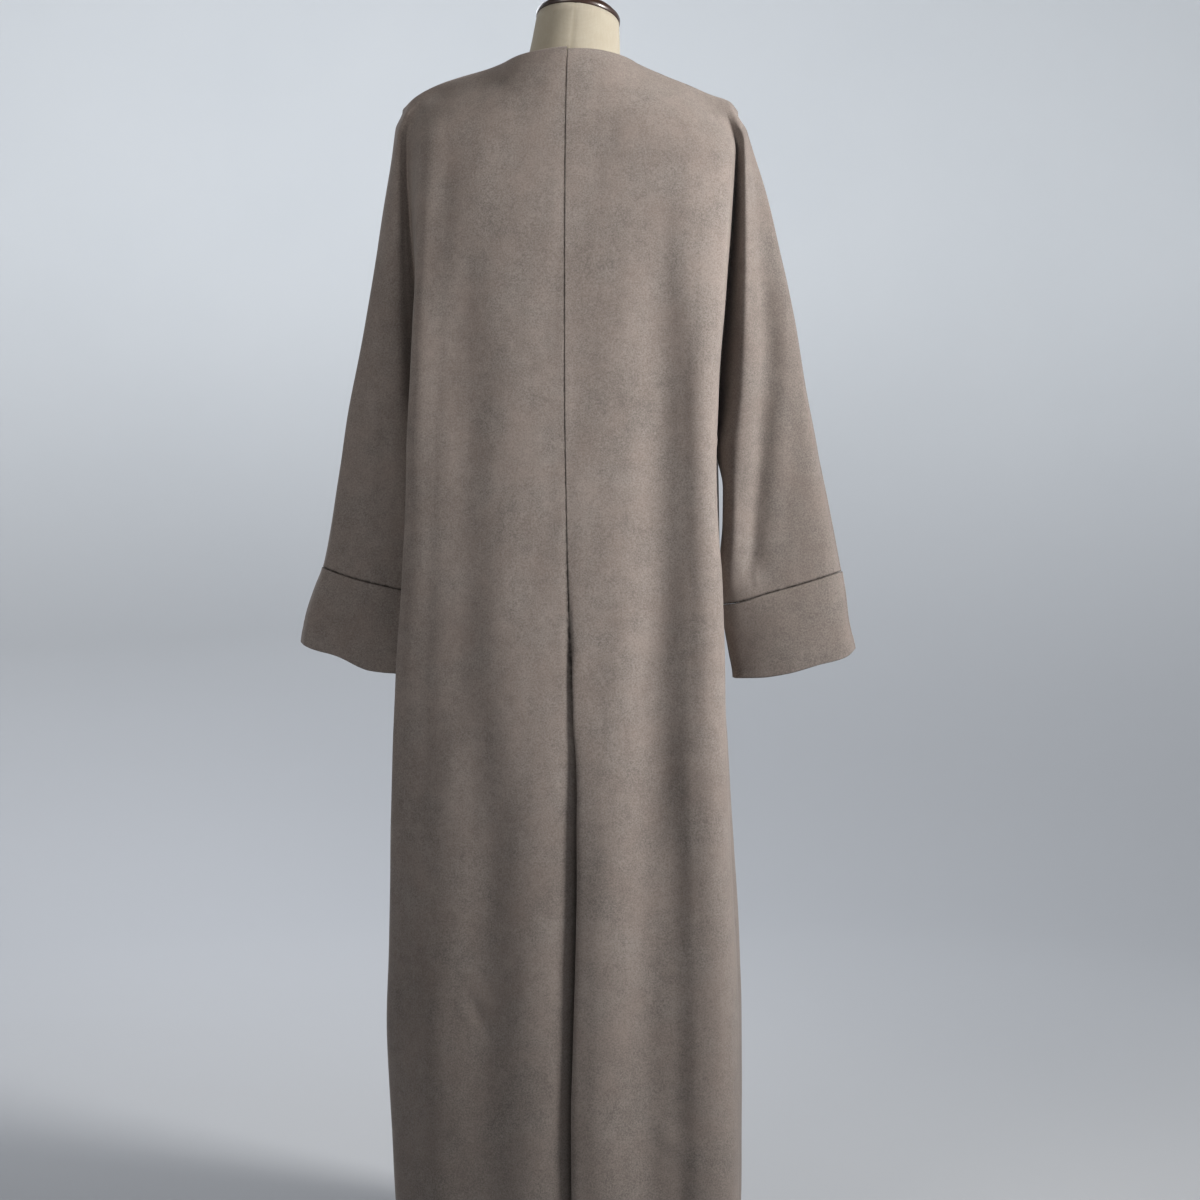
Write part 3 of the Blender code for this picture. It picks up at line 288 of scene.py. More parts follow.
# ---- front folds, the same columns ------------------------------------------------------
FRONT_FOLDS = {
    "left": (
        (1.470, 0.1700, -0.040, 0.1930, -0.030, 0.2030, -0.024, 0.2080, -0.014),
        (1.440, 0.1800, -0.056, 0.2000, -0.038, 0.2080, -0.036, 0.2150, -0.024),
        (1.380, 0.1800, -0.074, 0.1990, -0.040, 0.2110, -0.046, 0.2200, -0.036),
        (1.300, 0.1790, -0.083, 0.1940, -0.034, 0.2110, -0.048, 0.2260, -0.042),
        (1.200, 0.1790, -0.085, 0.1870, -0.022, 0.2120, -0.046, 0.2360, -0.042),
        (1.110, 0.1800, -0.084, 0.1820, -0.010, 0.2120, -0.043, 0.2430, -0.042),
        (1.040, 0.1810, -0.082, 0.1780, 0.000, 0.2110, -0.041, 0.2480, -0.042),
        (0.980, 0.1820, -0.080, 0.0, 0.0, 0.2090, -0.040, 0.2510, -0.042),
        (0.860, 0.1850, -0.079, 0.0, 0.0, 0.2050, -0.038, 0.2560, -0.042),
        (0.740, 0.1900, -0.078, 0.0, 0.0, 0.2040, -0.037, 0.2620, -0.042),
        (0.600, 0.2010, -0.078, 0.0, 0.0, 0.0, 0.0, 0.0, 0.0),
        (0.330, 0.2130, -0.082, 0.0, 0.0, 0.0, 0.0, 0.0, 0.0),
        (0.040, 0.2010, -0.084, 0.0, 0.0, 0.0, 0.0, 0.0, 0.0),
    ),
    "right": (
        (1.470, 0.1700, -0.040, 0.1880, -0.030, 0.1980, -0.024, 0.2030, -0.014),
        (1.430, 0.1800, -0.060, 0.1970, -0.040, 0.2060, -0.038, 0.2120, -0.026),
        (1.380, 0.1800, -0.074, 0.1980, -0.041, 0.2110, -0.046, 0.2200, -0.036),
        (1.290, 0.1785, -0.083, 0.1930, -0.034, 0.2120, -0.049, 0.2290, -0.041),
        (1.190, 0.1780, -0.084, 0.1860, -0.022, 0.2120, -0.048, 0.2400, -0.040),
        (1.110, 0.1780, -0.083, 0.1810, -0.010, 0.2110, -0.045, 0.2480, -0.040),
        (1.040, 0.1785, -0.081, 0.1760, 0.000, 0.2090, -0.042, 0.2500, -0.041),
        (0.980, 0.1800, -0.080, 0.0, 0.0, 0.2120, -0.040, 0.2550, -0.042),
        (0.860, 0.1830, -0.079, 0.0, 0.0, 0.2130, -0.038, 0.2620, -0.042),
        (0.740, 0.1880, -0.078, 0.0, 0.0, 0.2260, -0.037, 0.2780, -0.042),
        (0.600, 0.1940, -0.076, 0.0, 0.0, 0.0, 0.0, 0.0, 0.0),
        (0.330, 0.2065, -0.062, 0.0, 0.0, 0.0, 0.0, 0.0, 0.0),
        (0.040, 0.2070, -0.062, 0.0, 0.0, 0.0, 0.0, 0.0, 0.0),
    ),
}

# ---- soft hanging folds on the body, one table a fold: height, place_x, rise, half_width.
# They fade out over this much of a row beside the centre and the side seams. ----------
SOFT_FOLD_FADE = 0.08
SOFT_FOLDS = {
    ("back", "left"): (
        ((1.320, 0.122, 0.0, 0.030), (1.140, 0.124, -0.0045, 0.031), (0.800, 0.120, -0.0035, 0.030),
         (0.500, 0.094, -0.009, 0.038), (0.040, 0.090, -0.012, 0.042)),
        ((0.640, 0.170, 0.0, 0.026), (0.420, 0.172, 0.004, 0.026), (0.040, 0.166, 0.005, 0.028)),
    ),
    ("back", "right"): (
        ((0.720, 0.045, 0.0, 0.024), (0.500, 0.044, 0.003, 0.024), (0.040, 0.042, 0.004, 0.024)),
        ((1.360, 0.112, 0.0, 0.030), (1.140, 0.112, -0.0065, 0.030), (0.800, 0.104, -0.009, 0.029),
         (0.600, 0.099, -0.011, 0.028), (0.040, 0.096, -0.012, 0.029)),
        ((1.300, 0.156, 0.0, 0.021), (1.140, 0.155, 0.003, 0.021), (0.750, 0.158, 0.0035, 0.022),
         (0.040, 0.163, 0.004, 0.024)),
    ),
    ("front", "left"): (
        ((1.180, 0.095, 0.0, 0.028), (0.800, 0.098, 0.005, 0.030), (0.040, 0.104, 0.009, 0.032)),
        ((0.900, 0.048, 0.0, 0.026), (0.500, 0.050, -0.006, 0.028), (0.040, 0.052, -0.010, 0.030)),
    ),
    ("front", "right"): (
        ((1.120, 0.104, 0.0, 0.028), (0.740, 0.108, 0.006, 0.030), (0.040, 0.116, 0.010, 0.032)),
        ((0.800, 0.056, 0.0, 0.026), (0.400, 0.060, -0.005, 0.028), (0.040, 0.062, -0.009, 0.030)),
    ),
}

# ---- cuff seam and cuff hem: share of the way from the inner to the outer edge, height ---
CUFF_SEAM = {
    "left": ((0.0, 0.8440), (0.28, 0.8537), (0.65, 0.8665), (1.0, 0.8820)),
    "right": ((0.0, 0.8345), (0.10, 0.8360), (0.35, 0.8470), (0.68, 0.8610), (1.0, 0.8760)),
}
CUFF_HEM = {
    "left": ((0.0, 0.7470), (0.25, 0.7485), (0.42, 0.7515), (0.70, 0.7705), (0.90, 0.7790), (1.0, 0.7860)),
    "right": ((0.0, 0.7430), (0.21, 0.7440), (0.43, 0.7490), (0.69, 0.7600), (0.91, 0.7690), (1.0, 0.7790)),
}

# ---- dress form: height, half_width, back_y, front_y -----------------------------------
TORSO_RINGS = (
    (0.770, 0.128, 0.084, -0.080),
    (0.800, 0.142, 0.094, -0.090),
    (0.870, 0.148, 0.100, -0.096),
    (0.940, 0.146, 0.095, -0.093),
    (1.020, 0.128, 0.078, -0.084),
    (1.080, 0.116, 0.068, -0.078),
    (1.140, 0.119, 0.070, -0.084),
    (1.220, 0.135, 0.079, -0.102),
    (1.270, 0.143, 0.084, -0.107),
    (1.330, 0.147, 0.087, -0.096),
    (1.390, 0.158, 0.084, -0.074),
    (1.425, 0.164, 0.074, -0.060),
    (1.445, 0.160, 0.063, -0.050),
    (1.462, 0.138, 0.055, -0.042),
    (1.478, 0.108, 0.052, -0.040),
    (1.492, 0.078, 0.052, -0.044),
    (1.506, 0.062, 0.053, -0.050),
    (1.520, 0.0575, 0.0525, -0.053),
    (1.540, 0.0550, 0.0500, -0.0530),
)
NECK_LEAN_START = 1.500
NECK_LEAN_FORWARD = math.radians(8.0)
NECK_LEAN_RIGHT = math.radians(5.0)
NECK_TOP_HEIGHT = 1.566
NECK_TOP_RADIUS = 0.0520
CAP_RADIUS = 0.0528
CAP_BAND = 0.008
CAP_DOME = 0.014
CAP_ROUNDING = 0.004
CAP_EDGE = 0.6 * MM
CAP_DOME_STEPS = 14
# the band's upper corner: shares of the rounding that it is drawn in and down by
CAP_CORNER = ((0.0, 0.7), (0.25, 0.2), (0.75, 0.0))
FORM_SEAMS = (QUARTER_TURN, 3 * QUARTER_TURN, 0.0, 2 * QUARTER_TURN)   # directions, from above
WRAP_GIRTH = 0.72              # girth that the linen's own measure is wrapped round
UNDERSIDE_ROLL = 0.09          # share of the girth that the underside is rolled in by
NECK_RING_SHARES = (0.35, 0.7)
PART_GAP = 0.3 * MM
POLE_RADIUS = 0.014
POLE_COLLAR_RADIUS = 0.030
POLE_COLLAR_HEIGHT = 0.018
POLE_EDGE = 1.5 * MM
POLE_SIDES = 64
BASE_RADIUS = 0.135
BASE_HEIGHT = 0.016
BASE_EDGE = 0.006
BASE_LOWER_EDGE = 1.0 * MM
BASE_EDGE_STEPS = 8
BASE_SIDES = 128
SAME_POINT = 1e-6              # points closer than this are one
SMOOTH_ANGLE = math.radians(35.0)


# ---- shares that shape a row, and how the sheets and their walls are finished ------------
UNDERARM_BLEND = 0.12          # height over which the sleeve's underside changes its rounding
ROUNDING_ABOVE = (0.5, 0.5)    # way from the valley to the ridge, across and deep, above it
ROUNDING_BELOW = (0.2, 0.72)   # and below it
OVERARM_TURN = (0.14, 0.56)    # way from the overarm seam back to the sleeve's middle
CREASE_FADE = 14.0 * MM        # creases fade out this close to an edge
UNEVENNESS = 0.8 * MM
# slow waves of hanging cloth with no common length: share, turns by x, by y and by z, start
WAVES = ((0.34, 71.0, 0.0, 9.0, 0.7), (0.30, 43.0, 30.0, -17.0, 2.1),
         (0.22, 113.0, 0.0, 31.0, 4.0), (0.14, 29.0, 0.0, 57.0, 1.3))
NECK_STEP = 1.2 * MM           # half the step between the two backs at the neck
NECK_STEP_REACH = 0.035
NECK_EASE_SPREAD = 0.070       # how far along the row the bend at the neck point is spread
NECK_EASE_REACH = 0.09         # how far from the neck point along the row it is spread at all
NECK_EASE_DROP = 0.013         # distance from the top edge at which it is spread fully
NECK_EASE_HEIGHTS = (1.30, 1.40)
SEAM_LINE = 1.0 * MM           # how far from a seam the nap is pressed down
FOLD_SHADE_WIDTH = 17.0 * MM          # and how much further painted shadow reaches inside the open centre back fold
FULL_FOLD = 0.026
CUFF_TURN = 21.0 * MM          # height above the cuff's hem of its turned-up layer's edge
CUFF_TURN_DIP = 0.35 * MM
CUFF_TURN_SOFTNESS = 0.09      # width of that dip, as a share of the height above the hem


@dataclass(frozen=True)
class Crease:
    """A soft trough or ridge laid on one panel.

    Attributes:
        line: Points down its length: outward distance, height, rise, half width.
        place_low: First place along the row that it may move.
        place_high: Last place along the row that it may move.
    """

    line: Table
    place_low: float = 0.0
    place_high: float = AT_VALLEY

    def rise(self, outward: np.ndarray, height: np.ndarray, place: np.ndarray) -> np.ndarray:
        """How far each point of a sheet is lifted by this crease.

        Args:
            outward: Distance of each point from the middle of the cloak.
            height: Height of each point.
            place: Place of each point along its row.

        Returns:
            The lift of each point, in metres.
        """
        rows = np.array(self.line, dtype=float)
        nearest = np.full(len(outward), np.inf)
        lift = np.zeros(len(outward))
        for first, second in zip(rows, rows[1:]):
            run = second[:2] - first[:2]
            along = ((outward - first[0]) * run[0] + (height - first[1]) * run[1]) / (run @ run)
            along = np.clip(along, 0.0, 1.0)
            away = np.hypot(outward - first[0] - along * run[0], height - first[1] - along * run[1])
            eased_along = along * along * (3.0 - 2.0 * along)
            peak = first[2] + (second[2] - first[2]) * eased_along
            half_width = first[3] + (second[3] - first[3]) * along
            relative = away / half_width
            better = relative < nearest
            nearest = np.where(better, relative, nearest)
            lift = np.where(better, peak * np.exp(-relative * relative), lift)
        return np.where((place >= self.place_low) & (place <= self.place_high), lift, 0.0)


def body_crease(*line: Sequence[float]) -> Crease:
    """A crease on the part of a panel that hangs on the body."""
    return Crease(line)


def sleeve_crease(*line: Sequence[float]) -> Crease:
    """A crease on the sleeve, clear of the deep valley beside the body."""
    return Crease(line, AT_VALLEY, 1.0)


# Each row: outward distance, height, rise, half width.
CREASES = {
    (Face.BACK, Side.LEFT): (
        body_crease((0.128, 0.385, 0.0, 0.008), (0.106, 0.348, -0.0016, 0.008), (0.083, 0.312, 0.0, 0.008)),
        body_crease((0.188, 0.62, 0.0, 0.012), (0.184, 0.48, 0.0022, 0.013), (0.176, 0.30, 0.0, 0.014)),
        body_crease((0.150, 1.40, 0.0, 0.014), (0.168, 1.25, -0.0014, 0.014), (0.170, 1.05, 0.0, 0.014)),
        body_crease((0.060, 0.30, 0.0, 0.010), (0.110, 0.225, 0.0012, 0.012), (0.150, 0.18, 0.0, 0.010)),
        sleeve_crease((0.232, 1.38, 0.0, 0.008), (0.238, 1.24, -0.0016, 0.010), (0.246, 1.10, 0.0, 0.010)),
        sleeve_crease((0.226, 1.12, 0.0, 0.010), (0.233, 1.00, -0.0016, 0.012), (0.236, 0.90, 0.0, 0.010)),
        sleeve_crease((0.215, 0.99, 0.0, 0.006), (0.204, 0.93, 0.0016, 0.007), (0.198, 0.87, 0.0, 0.006)),
        sleeve_crease((0.290, 0.915, 0.0, 0.008), (0.272, 0.895, -0.0012, 0.009), (0.250, 0.884, 0.0, 0.008)),
    ),
    (Face.BACK, Side.RIGHT): (
        body_crease((0.112, 1.30, 0.0, 0.030), (0.112, 1.14, -0.0030, 0.032), (0.112, 0.80, -0.0035, 0.034),
                    (0.130, 0.50, -0.0088, 0.028), (0.134, 0.05, -0.0092, 0.029)),
        body_crease((0.166, 1.20, 0.0, 0.016), (0.166, 1.05, 0.0020, 0.018), (0.170, 0.75, 0.0030, 0.019),
                    (0.184, 0.50, 0.0050, 0.019), (0.188, 0.05, 0.0046, 0.021)),
        body_crease((0.088, 0.26, 0.0, 0.012), (0.120, 0.205, 0.0014, 0.012), (0.156, 0.19, 0.0, 0.010)),
        sleeve_crease((0.236, 1.31, 0.0, 0.009), (0.241, 1.14, -0.0042, 0.0105),
                      (0.233, 1.02, -0.0045, 0.0105), (0.2235, 0.90, -0.0042, 0.0095),
                      (0.214, 0.858, 0.0, 0.007)),
        sleeve_crease((0.260, 1.28, 0.0, 0.010), (0.264, 1.14, 0.0026, 0.012), (0.256, 1.02, 0.0028, 0.012),
                      (0.2465, 0.90, 0.0020, 0.011), (0.240, 0.87, 0.0, 0.008)),
        sleeve_crease((0.205, 0.99, 0.0, 0.006), (0.201, 0.93, 0.0020, 0.007), (0.199, 0.87, 0.0, 0.006)),
        sleeve_crease((0.226, 0.882, 0.0, 0.0035), (0.228, 0.868, 0.0011, 0.0035),
                      (0.229, 0.851, 0.0, 0.003)),
        sleeve_crease((0.236, 0.880, 0.0, 0.0032), (0.238, 0.868, 0.0010, 0.0032),
                      (0.239, 0.855, 0.0, 0.003)),
        sleeve_crease((0.248, 0.884, 0.0, 0.0035), (0.249, 0.873, 0.0007, 0.0035),
                      (0.250, 0.860, 0.0, 0.003)),
    ),
    (Face.FRONT, Side.LEFT): (
        body_crease((0.120, 1.40, 0.0, 0.012), (0.140, 1.28, 0.0022, 0.014), (0.142, 1.10, 0.0, 0.014)),
        body_crease((0.030, 1.20, 0.0, 0.010), (0.038, 1.02, 0.0020, 0.012), (0.040, 0.80, 0.0, 0.012)),
        body_crease((0.160, 0.70, 0.0, 0.012), (0.168, 0.45, 0.0026, 0.014), (0.172, 0.20, 0.0, 0.014)),
        body_crease((0.070, 0.42, 0.0, 0.009), (0.100, 0.36, -0.0016, 0.010), (0.128, 0.33, 0.0, 0.009)),
        sleeve_crease((0.236, 1.30, 0.0, 0.010), (0.246, 1.15, -0.0018, 0.012), (0.252, 1.00, 0.0, 0.012)),
        sleeve_crease((0.280, 1.02, 0.0, 0.010), (0.276, 0.95, 0.0014, 0.012), (0.262, 0.89, 0.0, 0.010)),
    ),
    (Face.FRONT, Side.RIGHT): (
        body_crease((0.115, 1.41, 0.0, 0.012), (0.136, 1.30, 0.0022, 0.014), (0.140, 1.12, 0.0, 0.014)),
        body_crease((0.034, 1.16, 0.0, 0.010), (0.044, 0.96, 0.0020, 0.012), (0.046, 0.74, 0.0, 0.012)),
        body_crease((0.164, 0.72, 0.0, 0.012), (0.170, 0.50, 0.0026, 0.014), (0.172, 0.22, 0.0, 0.014)),
        body_crease((0.068, 0.50, 0.0, 0.009), (0.096, 0.43, -0.0016, 0.010), (0.126, 0.40, 0.0, 0.009)),
        sleeve_crease((0.238, 1.28, 0.0, 0.010), (0.250, 1.14, -0.0018, 0.012), (0.256, 0.99, 0.0, 0.012)),
        sleeve_crease((0.290, 1.00, 0.0, 0.010), (0.284, 0.94, 0.0014, 0.012), (0.268, 0.89, 0.0, 0.010)),
    ),
}


# ---- reading the tables ----------------------------------------------------------------
def eased(rows: Table, where: np.ndarray, column: int) -> np.ndarray:
    """A table column at many heights: a monotone cubic through the table's rows.

    Args:
        rows: The table, with the height in its first column.
        where: The heights.
        column: The column that is read.

    Returns:
        The column's value at each height.
    """
    ordered = np.array(sorted(rows), dtype=float)
    marks, values = ordered[:, 0], ordered[:, column]
    steps = np.diff(marks)
    slopes = np.diff(values) / steps
    tangents = np.zeros(len(marks))
    tangents[0], tangents[-1] = slopes[0], slopes[-1]
    for i in range(1, len(slopes)):
        if slopes[i - 1] * slopes[i] > 0.0:
            first = 2.0 * steps[i] + steps[i - 1]
            second = steps[i] + 2.0 * steps[i - 1]
            tangents[i] = (first + second) / (first / slopes[i - 1] + second / slopes[i])
    inside = np.clip(where, marks[0], marks[-1])
    i = np.clip(np.searchsorted(marks, inside, side="right") - 1, 0, len(steps) - 1)
    t = (inside - marks[i]) / steps[i]
    return (values[i] * (1 + 2 * t) * (1 - t) ** 2 + tangents[i] * steps[i] * t * (1 - t) ** 2
            + values[i + 1] * t * t * (3 - 2 * t) + tangents[i + 1] * steps[i] * t * t * (t - 1))


def straight(rows: Table, where: np.ndarray) -> np.ndarray:
    """A table's second column at many places, in straight lines between the rows."""
    return np.interp(where, [row[0] for row in rows], [row[1] for row in rows])


def smooth_curve(places: Sequence[float], points: np.ndarray, where: np.ndarray) -> np.ndarray:
    """Points at places on centripetal curves through control points.

    Args:
        places: The place of each control point.
        points: Control points, one curve for each place asked for: (control, curve, 2).
        where: The place asked for on each curve.

    Returns:
        One point a curve: (curve, 2).
    """
    marks = np.array(places)
    last = len(places) - 2
    i = np.clip(np.searchsorted(marks, where + PLACE_SLACK, side="right") - 1, 0, last)
    t = ((where - marks[i]) / (marks[i + 1] - marks[i]))[:, None]
    each = np.arange(len(where))
    a, b = points[i, each], points[i + 1, each]
    before = np.where((i > 0)[:, None], points[np.maximum(i - 1, 0), each], 2 * a - b)
    after = np.where((i < last)[:, None], points[np.minimum(i + 2, last + 1), each], 2 * b - a)
    gap_before = np.sqrt(np.linalg.norm(a - before, axis=1, keepdims=True))
    gap = np.sqrt(np.linalg.norm(b - a, axis=1, keepdims=True))
    gap_after = np.sqrt(np.linalg.norm(after - b, axis=1, keepdims=True))
    leave = (b - a) + gap * ((a - before) / gap_before - (b - before) / (gap_before + gap))
    arrive = (b - a) + gap * ((after - b) / gap_after - (after - a) / (gap + gap_after))
    return (a * (1 + 2 * t) * (1 - t) ** 2 + leave * t * (1 - t) ** 2
            + b * t * t * (3 - 2 * t) + arrive * t * t * (t - 1))


def smooth_step(value: np.ndarray) -> np.ndarray:
    """0 below 0, 1 above 1 and an even slope between."""
    held = np.clip(value, 0.0, 1.0)
    return held * held * (3.0 - 2.0 * held)


# ---- one panel's form ------------------------------------------------------------------
@dataclass
class PanelForm:
    """Where every place on every level of one panel is, before its thickness."""

    face: Face
    side: Side

    @property
    def mirror(self) -> float:
        """+1 on the wearer's left, -1 on the right."""
        return 1.0 if self.side is Side.LEFT else -1.0

    @property
    def folds(self) -> Table:
        """The panel's own fold table."""
        return (BACK_FOLDS if self.face is Face.BACK else FRONT_FOLDS)[self.side.value]

    @property
    def seams(self) -> Table:
        """The side's seam table."""
        return SEAMS[self.side.value]

    def centre(self, height: np.ndarray) -> tuple[np.ndarray, np.ndarray, np.ndarray]:
        """Where the centre edge is.

        Args:
            height: The heights.

        Returns:
            The edge's distance outward, the body's depth there and the fold's depth.
        """
        if self.face is Face.BACK:
            return (self.mirror * eased(CENTRE_BACK, height, 1), eased(CENTRE_BACK, height, 2),
                    eased(CENTRE_BACK, height, 3))
        share = np.clip((NECK_FRONT_HEIGHT - height) / (NECK_FRONT_HEIGHT - HEM_HEIGHT), 0.0, 1.0)
        outward = FRONT_EDGE_TOP + (FRONT_EDGE_HEM - FRONT_EDGE_TOP) * share
        return outward, eased(CENTRE_FRONT, height, 1), np.zeros_like(height)

    def body_points(self, height: np.ndarray) -> list[np.ndarray]:
        """Control points from the centre edge to the fold, then to the valley or side seam.

        Args:
            height: The heights.

        Returns:
            The points of every level's row, in the order of BODY_PLACES.
        """
        centre_x, centre_y, depth = self.centre(height)
        fold_x, fold_y = eased(self.folds, height, 1), eased(self.folds, height, 2)
        roundness = BODY_ROUNDNESS[(self.face.value, self.side.value)]
        points = []
        for place in BODY_PLACES[:-1]:
            share = place / AT_FOLD
            points.append(np.stack([centre_x + (fold_x - centre_x) * share,
                                    centre_y - (centre_y - fold_y) * share ** roundness], axis=1))
        if self.side is Side.LEFT:
            for point, dip in zip(points, LEFT_DIP):
                point[:, 1] -= dip * depth
        else:
            points[0][:, 1] -= depth
            for point, column in ((points[1], 1), (points[2], 3)):
                past = centre_x + eased(CENTRE_TURN, depth, column)
                point[:, 0] = np.where(depth > 0.0, past, point[:, 0])
                point[:, 1] -= depth * eased(CENTRE_TURN, depth, column + 1)
        above = height > UNDERARM_HEIGHT
        points.append(np.stack([
            np.where(above, eased(self.folds, height, 3), eased(self.seams, height, 1)),
            np.where(above, eased(self.folds, height, 4), eased(self.seams, height, 2))], axis=1))
        return points

    def sleeve_points(self, height: np.ndarray) -> list[np.ndarray]:
        """Control points from the valley or underarm seam to the overarm seam.

        Args:
            height: The heights.

        Returns:
            The points of every level's row, in the order of SLEEVE_PLACES.
        """
        above = height > UNDERARM_HEIGHT
        start = np.stack([
            np.where(above, eased(self.folds, height, 3), eased(self.seams, height, 3)),
            np.where(above, eased(self.folds, height, 4), eased(self.seams, height, 4))], axis=1)
        ridge = np.stack([eased(self.folds, height, 5), eased(self.folds, height, 6)], axis=1)
        middle = np.stack([eased(self.folds, height, 7), eased(self.folds, height, 8)], axis=1)
        outer = np.stack([eased(self.seams, height, 5), eased(self.seams, height, 6)], axis=1)
        below = np.clip((UNDERARM_HEIGHT + UNDERARM_BLEND / 2 - height) / UNDERARM_BLEND, 0.0, 1.0)
        share = np.stack([ROUNDING_ABOVE[0] + (ROUNDING_BELOW[0] - ROUNDING_ABOVE[0]) * below,
                          ROUNDING_ABOVE[1] + (ROUNDING_BELOW[1] - ROUNDING_ABOVE[1]) * below], axis=1)
        rounding = start + (ridge - start) * share
        turn = outer + (middle - outer) * np.array(OVERARM_TURN)
        return [start, rounding, ridge, middle, turn, outer]

    def section(self, place: np.ndarray, height: np.ndarray, leg: Leg) -> np.ndarray:
        """Where places are at levels.

        Args:
            place: The places along the row.
            height: The heights.
            leg: The part of the row that they are read from.

        Returns:
            Distance outward and depth: (n, 2).
        """
        if leg is Leg.BODY:
            places, points = BODY_PLACES, self.body_points(height)
        elif leg is Leg.SLEEVE:
            places, points = SLEEVE_PLACES, self.sleeve_points(height)
        else:
            places = BODY_PLACES + SLEEVE_PLACES[1:]
            points = self.body_points(height) + self.sleeve_points(height)[1:]
        found = smooth_curve(places, np.array(points), place)
        outward_sign = 1.0 if self.face is Face.BACK else -1.0
        fade = np.clip(np.minimum(place, AT_VALLEY - place) / SOFT_FOLD_FADE, 0.0, 1.0)
        for fold in SOFT_FOLDS[(self.face.value, self.side.value)]:
            away = (found[:, 0] - eased(fold, height, 1)) / eased(fold, height, 3)
            found[:, 1] += outward_sign * fade * eased(fold, height, 2) * np.exp(-away * away)
        return found

    def top(self, place: np.ndarray) -> np.ndarray:
        """The top edge: the neckline, then the shoulder seam out to its end.

        Args:
            place: The places along the row.

        Returns:
            The edge's points, without the side's sign: (n, 3).
        """
        shoulder = SHOULDER[self.side.value]
        neck_point = shoulder[0]
        turn = QUARTER_TURN * np.minimum(place / AT_NECK_POINT, 1.0)
        start_x = float(self.centre(np.array([NECK_BACK_HEIGHT]))[0][0])
        neck_x = start_x + (NECK_HALF_WIDTH - start_x) * np.sin(turn)
        if self.face is Face.BACK:
            neck_y = SHOULDER_SEAM_Y + (NECK_BACK_Y - SHOULDER_SEAM_Y) * np.cos(turn) ** NECK_BEND
            neck_z = NECK_BACK_HEIGHT + (neck_point[1] - NECK_BACK_HEIGHT) * (1 - np.cos(turn))
        else:
            neck_y = SHOULDER_SEAM_Y + (NECK_FRONT_Y - SHOULDER_SEAM_Y) * np.cos(turn)
            neck_z = NECK_FRONT_HEIGHT + (neck_point[1] - NECK_FRONT_HEIGHT) * np.sin(turn) ** NECK_SCOOP
        share = straight(SHOULDER_SHARE, place)
        seam_x = neck_point[0] + (shoulder[-1][0] - neck_point[0]) * share
        on_neck = place <= AT_NECK_POINT
        return np.stack([np.where(on_neck, neck_x, seam_x), np.where(on_neck, neck_y, SHOULDER_SEAM_Y),
                         np.where(on_neck, neck_z, eased(shoulder, seam_x, 1))], axis=1)

    def upper_points(self, place: np.ndarray, share: np.ndarray) -> np.ndarray:
        """Points between the top edge and the underarm level.

        Args:
            place: The places along the row.
            share: The share of the way down, from 0 to 1.

        Returns:
            The points: (n, 3).
        """
        top = self.top(place)
        height = top[:, 2] - (top[:, 2] - UNDERARM_HEIGHT) * share ** DROP_CROWDING
        found = self.section(place, height, Leg.WHOLE)
        fallen = np.minimum((top[:, 2] - height) / straight(SHOULDER_DROP, place), 1.0)
        rounded = np.sqrt(1.0 - (1.0 - fallen) ** 2)
        sidled = fallen * fallen * (3.0 - 2.0 * fallen)
        return np.stack([self.mirror * (top[:, 0] + (found[:, 0] - top[:, 0]) * sidled),
                         top[:, 1] + (found[:, 1] - top[:, 1]) * rounded, height], axis=1)

    def leg_points(self, place: np.ndarray, height: np.ndarray, leg: Leg) -> np.ndarray:
        """Points below the underarm level."""
        found = self.section(place, height, leg)
        return np.stack([self.mirror * found[:, 0], found[:, 1], height], axis=1)

    def edge_height(self, rows: Table, place: np.ndarray) -> np.ndarray:
        """Height of the cuff's seam or hem at places.

        Args:
            rows: The edge's table: share of the way across, height.
            place: The places along the row.

        Returns:
            The heights.
        """
        height = np.full(len(place), rows[len(rows) // 2][1])
        for _ in range(EDGE_PASSES):
            inner, outer = eased(self.seams, height, 3), eased(self.seams, height, 5)
            share = (self.section(place, height, Leg.SLEEVE)[:, 0] - inner) / (outer - inner)
            height = eased(rows, np.clip(share, 0.0, 1.0), 1)
        return height


# ---- sheets and shells -----------------------------------------------------------------
@dataclass
class Sheet:
    """The middle surface of one piece of cloth.

    Attributes:
        points: Its points: (n, 3).
        faces: Its faces, four points each, facing outward: (m, 4).
        place: Place along the row of each point.
        sewn: Distance of each point from the nearest sewn edge.
        neck: Distance from the neckline.
        hem: Distance from the hem or the open front edge.
        fold: How open the centre back fold is beside each point, from none to fully.
        pulls: For each point on a sewn edge, the inner points it is drawn back towards.
    """

    points: np.ndarray
    faces: np.ndarray
    place: np.ndarray
    sewn: np.ndarray
    neck: np.ndarray
    hem: np.ndarray
    fold: np.ndarray | float = 0.0
    pulls: dict[int, list[int]] = field(default_factory=dict)

    def normals(self) -> np.ndarray:
        """Unit normals at the points, weighted by area.


        Returns:
            The normals: (n, 3).
        """
        a, b, c, d = (self.points[self.faces[:, i]] for i in range(4))
        across = np.cross(c - a, d - b)
        total = np.zeros_like(self.points)
        for i in range(4):
            np.add.at(total, self.faces[:, i], across)
        return total / np.maximum(np.linalg.norm(total, axis=1, keepdims=True), 1e-12)

    def draw_back(self, distance: float) -> None:
        """Draws the sewn edges back from their seams.

        Args:
            distance: How far.
        """
        moved = self.points.copy()
        for point, inner in self.pulls.items():
            for other in inner:
                way = self.points[other] - self.points[point]
                moved[point] += distance * way / max(float(np.linalg.norm(way)), 1e-9)
        self.points = moved


